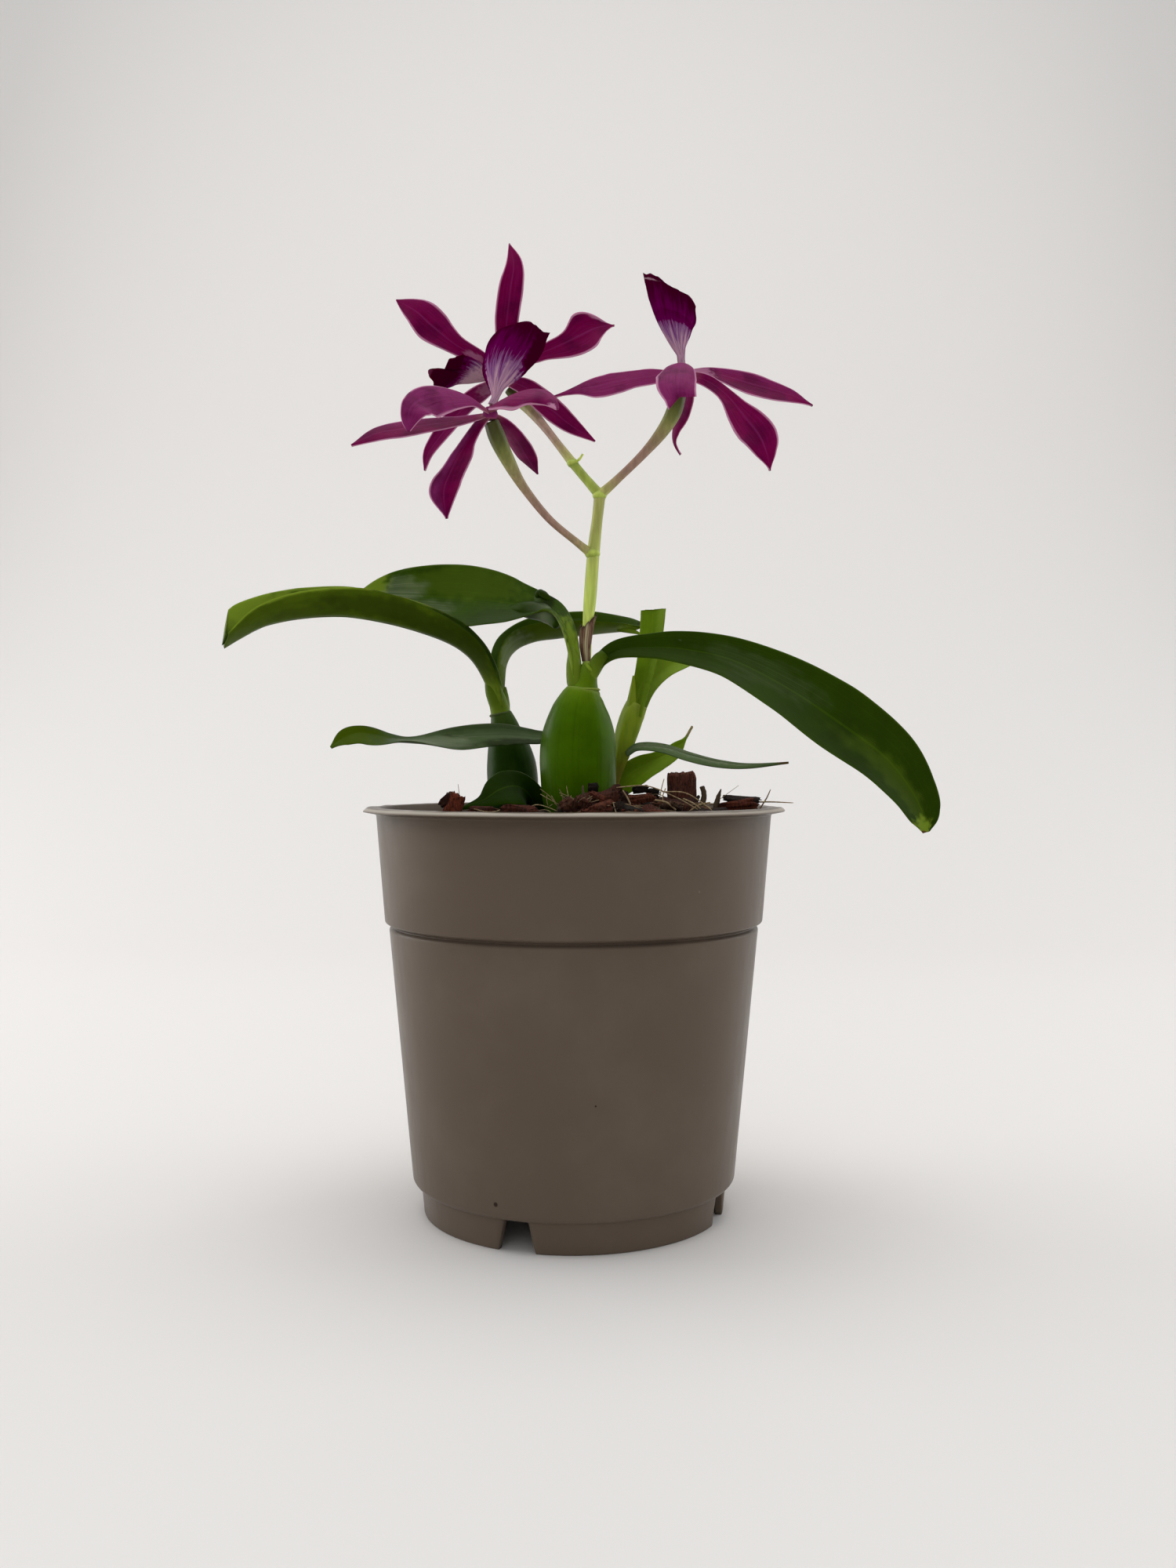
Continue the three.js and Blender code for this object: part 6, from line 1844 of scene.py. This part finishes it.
BLOOMS: dict[str, BloomShape] = {
    "bloom_left": BloomShape(
        hub=(-21.8, -30.2, 219.4, 2.2),
        tepals=(
            tepal(
                (
                    (-22.4, -30.2, 219, 1.2), (-27.1, -31, 217.6, 2.2), (-32.5, -33, 216.2, 3.2),
                    (-42.9, -34, 214.4, 4.1), (-50.6, -35, 212.8, 3.3), (-57.6, -36, 209.6, 0.3),
                ),
                ((0, -0.6, 0.8), (0, -0.75, 0.65)), (10, 0), mauve=(0, 0, 0, 0.3, 1.1), seed=31,
            ),
            tepal(
                (
                    (-22.2, -30.8, 219.6, 1.2), (-26.6, -37, 221, 2.5), (-33, -44, 220.2, 4.9),
                    (-38.4, -48.5, 217.8, 5.5), (-40.6, -51, 214.4, 4), (-40.6, -52, 209.4, 0.3),
                ),
                ((0, -0.8, 0.6), (-0.1, -1, 0.25), (-0.15, -1, 0.1)), (0, 0),
                shares=((1, 0.95, 1.05, 1.15, 1.25, 1.35, 1.2), (1, 0.9, 0.8, 0.74, 0.64, 0.6, 1)),
                wave=0, ruffle=0.012, mauve=(0.7, 0.8, 0.9), seed=32,
                marks=(Mark("deep", 0.62, 1, 0.03, 0.18, 0.7),),
            ),
            tepal(
                (
                    (-21.4, -30.8, 219.6, 1.2), (-17.4, -36, 221.4, 2.5), (-12.5, -42, 222, 4.7),
                    (-7.9, -47, 220.6, 5.3), (-5, -50, 217.8, 3.4), (-3.6, -52, 214.8, 0.3),
                ),
                ((0.2, -0.6, 0.8), (0.3, -0.8, 0.6), (0.5, -0.8, 0.4)), (0, -40, -50),
                shares=((1, 1.1, 1, 0.8, 0.7, 0.6, 1), (1, 2.6, 2.2, 1.6, 1.3, 1, 1)), wave=0.04,
                mauve=(0.75, 0.4, 0.3), seed=33, marks=(Mark("pale", 0.94, 0.6, 0.07, 0.5, 0.9),),
            ),
            tepal(
                (
                    (-21.4, -29.6, 219, 1.2), (-17.6, -24.6, 217, 3), (-14.8, -18, 214.6, 4.5),
                    (-12.4, -12, 211.6, 4.2), (-10.1, -7, 208.4, 0.3),
                ),
                ((0.3, 0.7, 0.6), (0.4, 0.75, 0.5)), (30, 30),
                shares=((1, 1, 1, 1.05, 1), (1, 0.75, 0.62, 0.6, 0.6)), mauve=(0.35, 0.25, 0.2), seed=34,
            ),
            tepal(
                (
                    (-22.4, -30.4, 218.6, 1.2), (-25.2, -31.6, 215, 2.3), (-28.4, -33, 209.7, 3.6),
                    (-31.2, -36, 203.7, 4.7), (-33.2, -38, 197.2, 4.5), (-32.5, -39, 190.1, 0.3),
                ),
                ((-0.2, -0.9, 0.3), (-0.3, -0.95, 0.1), (-0.1, -1, 0)), (50, 40),
                shares=((1, 0.9, 0.9, 1.25, 1.05, 1.1, 1), (1, 0.8, 0.55, 0.52, 0.58, 0.95, 0.8)),
                wave=0.05, mauve=(0, 0, 0, 0.9, 1.2), seed=35,
            ),
        ),
        lip=lip_blade(
            stations=(
                (-21.4, -31, 221.7, 1), (-20.5, -28.8, 224.8, 1.3), (-20.1, -26, 229.4, 3.6),
                (-18.7, -21.8, 236.8, 8.2), (-16, -17.6, 243.6, 9.6), (-13.6, -14.6, 248.6, 8.8),
            ),
            face=((0.1, 0.9, 0.2), (0.1, 0.9, -0.3)), bend=(40, 90, 70), skew=-3, wave=(0, 0.05, 0.07),
            waves=3, reach=(0.99, 0.955, 0.965, 0.99, 0.985, 0.95, 0.935, 0.95, 0.96), ruffle=0.014,
            shares=((1, 1, 1, 0.94, 0.89), (1, 1, 1.05, 1.12, 1.15)), uneven=0.2, seed=36,
            marks=(
                Mark("deep", 0.5, 0.98, 0.5, 0.16, 0.55), Mark("deep", 0.8, -0.95, 0.3, 0.4, 0.4),
                Mark("deep", 0.5, 0.95, 0.3, 0.3, 0.3), Mark("pale", 0.46, -0.25, 0.12, 0.14, 0.4),
            ),
        ),
        column=(
            (-21.4, -28.9, 221.6, 0.9), (-20.4, -25.4, 225.6, 1), (-19.4, -21.9, 229.8, 1.4),
            (-18.6, -18.6, 232.8, 1.7),
        ),
    ),
    "bloom_back": BloomShape(
        hub=(-20.8, 9.4, 239.4, 2.2),
        tepals=(
            tepal(
                (
                    (-20.8, 8.6, 240, 1.2), (-19.7, 6, 248.8, 3.3), (-19.4, 4, 254.8, 3.9),
                    (-18.2, 3, 263.8, 4.2), (-17.4, 4, 270.9, 3.3), (-18.8, 7, 278, 0.3),
                ),
                ((0, -1, 0.1), (0, -1, 0.1)), (30, 30),
                shares=((1, 0.9, 0.9, 0.85, 0.72, 0.7), (1, 0.94, 0.94, 0.93, 0.84, 0.8)), seed=41,
                marks=(Mark("pale", 1, 0, 0.025, 1.5, 0.5),),
            ),
            tepal(
                (
                    (-21.4, 8.6, 239.8, 1.2), (-26.7, 5, 244, 2.2), (-34, 3, 247.4, 3.1),
                    (-40.6, 3, 252.7, 5.4), (-45.6, 4, 257.3, 4.4), (-51.6, 7, 261.7, 0.3),
                ),
                ((0, -1, 0.2), (0, -1, 0.1)), (20, 20),
                shares=((1, 1, 1, 1.02, 0.9, 0.85, 1), (1, 1, 1, 0.95, 0.95, 1, 1)), wave=0.09,
                mauve=(0.15, 0, 0.05, 0.3), seed=42, marks=(Mark("pale", 0.24, -0.2, 0.1, 0.5, 0.35),),
            ),
            tepal(
                (
                    (-20.2, 8.6, 239.8, 1.2), (-14.7, 6, 243.6, 2.1), (-9.6, 5, 245.6, 2.8),
                    (-4.4, 5, 247.9, 4.7), (1.5, 6, 250.9, 6.2), (6.4, 8, 253.8, 4.4),
                    (11.7, 11, 255.7, 0.3),
                ),
                ((0, -1, 0.2), (0.1, -1, 0.2)), (20, 30),
                shares=((1, 1, 0.92, 0.64, 0.58, 1.08, 1, 0.5), (1, 1, 1, 1, 1.05, 1, 0.76, 0.5)),
                wave=0.07, seed=43, marks=(Mark("pale", 0.9, -0.9, 0.1, 0.25, 0.6),),
            ),
            tepal(
                (
                    (-20.2, 8.6, 238.8, 1.2), (-14.2, 6, 236, 2.9), (-7.8, 5, 230.4, 3.7),
                    (-1.6, 6.4, 225.6, 3), (6.1, 10, 221.5, 0.3),
                ),
                ((0, -1, 0.2), (0.1, -1, 0.2)), (30, 30), mauve=(0.2, 0.1, 0.1), seed=44,
            ),
            tepal(
                (
                    (-21.4, 8.6, 238.8, 1.2), (-26, 6, 234.8, 2.9), (-31.4, 5, 230.2, 3.3),
                    (-36.6, 5.4, 224.4, 3.1), (-42, 7, 217.6, 2), (-43.8, 9, 212.7, 0.3),
                ),
                ((-0.3, -1, 0.1), (-0.4, -0.9, 0.1)), (40, 40), mauve=(0.3, 0.2, 0.2), seed=45,
                marks=(Mark("pale", 0.15, 0, 0.12, 1, 0.35),),
            ),
        ),
        lip=lip_blade(
            stations=(
                (-22.9, 6.5, 238.9, 1), (-24.6, 4.2, 238.1, 1.7), (-27.6, 0.6, 237.1, 4.1),
                (-31, -3.2, 237, 5.8), (-34.8, -6.6, 237.3, 6.6), (-39.2, -9.4, 238, 6.2),
            ),
            face=((0.2, 0.5, 0.9), (0, 0.8, 0.7)), bend=(40, 30, 6), wave=(0, 0.05, 0.08), waves=2.5,
            reach=(0.76, 0.79, 0.83, 0.87, 0.84, 0.6, 0.88, 1, 1.02, 0.99, 0.93, 0.88, 0.83),
            shares=((1, 1, 1, 0.95, 0.9), (1, 1, 1.15, 1.2, 1.05)), ruffle=0.014, uneven=0.2, seed=46,
            marks=(Mark("pale", 0.46, 0.1, 0.16, 1, 0.9), Mark("deep", 0.85, 0, 0.2, 1.5, 0.3)),
        ),
        column=(
            (-22.4, 5.6, 241.4, 0.9), (-23.4, 4.4, 241.7, 1), (-24.4, 3.4, 242, 1.2),
            (-25.4, 2.6, 242.2, 1.3),
        ),
    ),
    "bloom_right": BloomShape(
        hub=(29.6, -16.1, 234, 2.2),
        tepals=(
            tepal(
                (
                    (29, -16.4, 233.6, 1.2), (23, -18, 232.6, 3.1), (16.3, -19, 231.4, 3.6),
                    (10.9, -20, 230.1, 4.1), (5.3, -20, 229, 3.6), (1.1, -20, 228.3, 2.2),
                    (-5.6, -19, 226.7, 0.3),
                ),
                ((0, -0.8, 0.6), (0, -0.85, 0.5)), (10, 0),
                shares=((1, 1, 1, 1.1, 1.15, 0.8, 0.5), (1, 1, 1, 1, 0.95, 0.8, 0.5)),
                mauve=(0.5, 0.45, 0.55), seed=51,
            ),
            tepal(
                (
                    (30, -15.8, 233.8, 1.2), (36.4, -14, 234.6, 2.1), (42.2, -12, 234.1, 3.1),
                    (48.9, -11, 232.5, 4), (55.8, -10, 230.8, 3.4), (61.4, -9, 229.4, 2.3),
                    (67, -8, 227.2, 0.3),
                ),
                ((0, -0.8, 0.6), (0, -0.85, 0.5)), (24, 16),
                shares=((1, 1, 1, 1, 1, 1, 0.7), (1, 1.2, 1.4, 1.4, 1.4, 1.2, 0.6)),
                mauve=(0.8, 0.3, 0.1, 0.15), seed=52, marks=(Mark("pale", 0.1, 0, 0.14, 1.5, 0.5),),
            ),
            tepal(
                (
                    (30, -16.6, 233.4, 1.2), (36.1, -18, 231.4, 2), (41.4, -21, 226.8, 2.6),
                    (45.9, -24, 220.4, 4.8), (49.9, -26, 214.3, 5.8), (51.7, -27, 209.4, 3.7),
                    (52.7, -27, 205, 0.3),
                ),
                ((0, -1, 0.3), (0.2, -1, 0.2)), (20, 20),
                shares=((1, 1, 0.85, 0.72, 0.9, 0.85, 0.72, 0.5), (1, 1, 1, 1, 1.02, 1, 0.85, 0.5)),
                wave=0.06, mauve=(0.12, 0, 0.1), seed=53,
            ),
            tepal(
                (
                    (29.6, -17, 234, 1.3), (29.3, -22, 234.6, 2.7), (28.7, -29, 232.4, 4.1),
                    (27.9, -35, 228.4, 5.3), (27.3, -39, 224, 5.2), (27.2, -41.4, 219.6, 4.4),
                ),
                ((0, -0.2, 1), (0, -0.7, 0.7), (0, -0.9, 0.4)), (-34, -20, 0),
                reach=(0.92, 0.9, 0.87, 0.87, 0.92, 1, 1.12), ruffle=0.01,
                shares=((1, 0.85, 0.85, 0.85, 0.9, 1.1), (1, 0.85, 1, 1.12, 1.05, 0.8)), wave=0.05,
                mauve=(0.55, 0.75, 0.8), seed=54,
            ),
            tepal(
                (
                    (29.8, -15.4, 233.6, 1.2), (32, -8, 231.6, 2.7), (31.2, -1, 227, 3.1),
                    (29.4, 3.6, 223.2, 2.5), (29.2, 6.2, 220.2, 1.4), (31, 8, 217.1, 0.3),
                ),
                ((0.85, 0.4, 0.5), (0.95, 0.3, 0.2)), (30, 30), shares=((1, 1, 1, 1), (1, 0.8, 0.6, 0.6)),
                mauve=(0.5, 0.2), seed=55,
            ),
        ),
        lip=lip_blade(
            stations=(
                (29.8, -17, 236.2, 1), (29.5, -16, 239, 1.2), (28.3, -14.8, 243.2, 2.8),
                (27, -13, 249.2, 5.4), (26.3, -11, 255.8, 7.6), (25.8, -9.2, 262.2, 8.4),
            ),
            face=((0.1, 0.9, 0.2), (0.2, 0.9, -0.2)), bend=(40, 90, 70), skew=7.5, wave=(0, 0.05, 0.1),
            waves=3, reach=(1, 1.01, 0.965, 0.945, 0.95, 0.985, 1, 0.985, 1), ruffle=0.012,
            shares=((1, 1, 1.1, 1.22, 1.12, 1.05), (1, 1, 1, 1, 1)), uneven=0.22, seed=56,
            marks=(Mark("pale", 0.945, 0.62, 0.008, 0.4, 0.7), Mark("deep", 0.66, 0, 0.06, 1.5, 0.1)),
        ),
        column=(
            (29.7, -15, 236.2, 0.9), (29.6, -12.4, 240.2, 1), (29.2, -8.8, 244.4, 1.4),
            (28.8, -6.2, 247.4, 1.7),
        ),
    ),
}


class Blooms:
    """The three blooms."""

    def build(self) -> None:
        """Adds each bloom's tepals with the hub, its lip and its column."""
        petal = TepalFinish().material("tepal")
        lip = LipFinish().material("lip")
        pink = PlainFinish(srgb(128, 62, 78), srgb(86, 22, 52), 0.5, (900.0, 900.0, 120.0))
        skin = pink.material("column")
        for name, bloom in BLOOMS.items():
            hub = Rod(knob(bloom.hub, 0.8, (0.7, 0.9, 0.5)), 24, 24, dome=0.8, tints={"mauve": (1, 1)})
            tepals = [shape.shell() for shape in (hub, *bloom.tepals)]
            column = Rod(bloom.column, 50, 28, rough=0.03, dome=0.6).shell()
            for part, shells, finish, slot in (
                ("tepals", tepals, petal, Slot.TEPAL),
                ("lip", [bloom.lip.shell()], lip, Slot.LIP),
                ("column", [column], skin, Slot.COLUMN),
            ):
                add_piece(f"{name}_{part}_look", shells, finish, [f"{name}_{part}"])


# The studio


@dataclass(frozen=True)
class CameraSize:
    """The camera's place, its downward tilt in degrees, its lens, its film and how far it sees."""

    place: Point = (4.05, -400.0, 125.3)
    tilt: float = 0.61
    lens: float = 32.0
    film: float = 36.0
    nearest: float = 10.0
    farthest: float = 20000.0


@dataclass(frozen=True)
class FloorSize:
    """Sizes of the floor in metres: it bends up behind the plant in a quarter circle."""

    front: float = -2.5
    back: float = 0.55
    bend: float = 0.5
    top: float = 3.0
    side: float = 3.2
    steps: int = 40


@dataclass(frozen=True)
class Softbox:
    """A square light: its place, the point it looks at, its side in mm and its power in watts."""

    place: Point
    target: Point
    side: float
    power: float


class Studio:
    """Camera, soft lights and a pale seamless floor."""

    LIGHTS = (
        Softbox((-950, 300, 420), (0, 0, 120), 900, 4.5), Softbox((950, 300, 420), (0, 0, 120), 900, 3),
        Softbox((0, 60, 1300), (0, 0, 100), 1200, 8), Softbox((-200, -1500, 700), (0, 0, 120), 1200, 3),
    )
    FLOOR = srgb(228, 225, 222)
    AIR = srgb(245, 247, 250)
    AIR_STRENGTH = 0.5

    def camera(self, size: CameraSize) -> None:
        """Adds the camera."""
        data = bpy.data.cameras.new("camera")
        data.sensor_width, data.lens = size.film, size.lens
        data.clip_start, data.clip_end = size.nearest * MM, size.farthest * MM
        camera = linked("camera", data, size.place)
        camera.rotation_euler = (math.radians(90 - size.tilt), 0, 0)
        bpy.context.scene.camera = camera

    def lights(self) -> None:
        """Adds the softboxes and the air's even light."""
        for number, box in enumerate(self.LIGHTS):
            data = bpy.data.lights.new(f"softbox_{number}", "AREA")
            data.size, data.energy = box.side * MM, box.power
            looks = Vector(box.target) - Vector(box.place)
            light = linked(data.name, data, box.place)
            light.rotation_euler = looks.to_track_quat("-Z", "Y").to_euler()
        world = bpy.data.worlds.new("air")
        world.use_nodes = True
        air = world.node_tree.nodes["Background"].inputs
        air["Color"].default_value = (*self.AIR, 1.0)
        air["Strength"].default_value = self.AIR_STRENGTH
        bpy.context.scene.world = world
        bpy.context.scene.view_settings.view_transform = "Standard"

    def floor(self, size: FloorSize) -> None:
        """Adds the floor, which rises behind the plant in a wide curve."""
        angle = np.linspace(0, np.pi / 2, size.steps)
        curve = size.back + size.bend * np.sin(angle)
        y = np.concatenate([[size.front], curve, [size.back + size.bend]])
        z = np.concatenate([[0.0], size.bend * (1 - np.cos(angle)), [size.top]])
        rows = len(y)
        points = np.vstack([np.stack([np.full(rows, x), y, z], -1) for x in (-size.side, size.side)])
        i = np.arange(rows - 1)
        faces = np.stack([i, i + 1, i + 1 + rows, i + rows], -1)
        mesh = bpy.data.meshes.new("floor")
        mesh.from_pydata(points.tolist(), [], faces.tolist())
        mesh.shade_smooth()
        mesh.materials.append(Shader("floor").done(Base_Color=self.FLOOR, Roughness=0.75))
        floor = linked("floor", mesh)


class PottedOrchid:
    """The whole object."""

    SPECKS = (
        (-16, -53.9, 100, 0.5), (-3, -53.4, 99, 0.4), (-23, -45, 48, 0.6), (6, -48.4, 40, 0.35),
        (-19.8, -41.8, 13, 0.8), (-44, -28, 64, 0.5), (-45.5, -26, 61.5, 0.35), (38, -34, 100.5, 0.3),
        (20.5, -49, 76, 0.3), (30.6, -42.2, 52, 0.25),
    )

    def build(self) -> None:
        """Adds every piece of the object."""
        pot = Pot(PotSize(), PlasticFinish(specks=self.SPECKS))
        for part in (pot, BarkBed(BarkSize()), Growth(), Foliage(), Shoot(), Spike(), Blooms()):
            part.build()


def main() -> None:
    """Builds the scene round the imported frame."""
    logging.basicConfig(level=logging.INFO, format="%(message)s")
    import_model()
    PottedOrchid().build()
    studio = Studio()
    studio.camera(CameraSize())
    studio.lights()
    studio.floor(FloorSize())


if __name__ == "__main__":
    main()
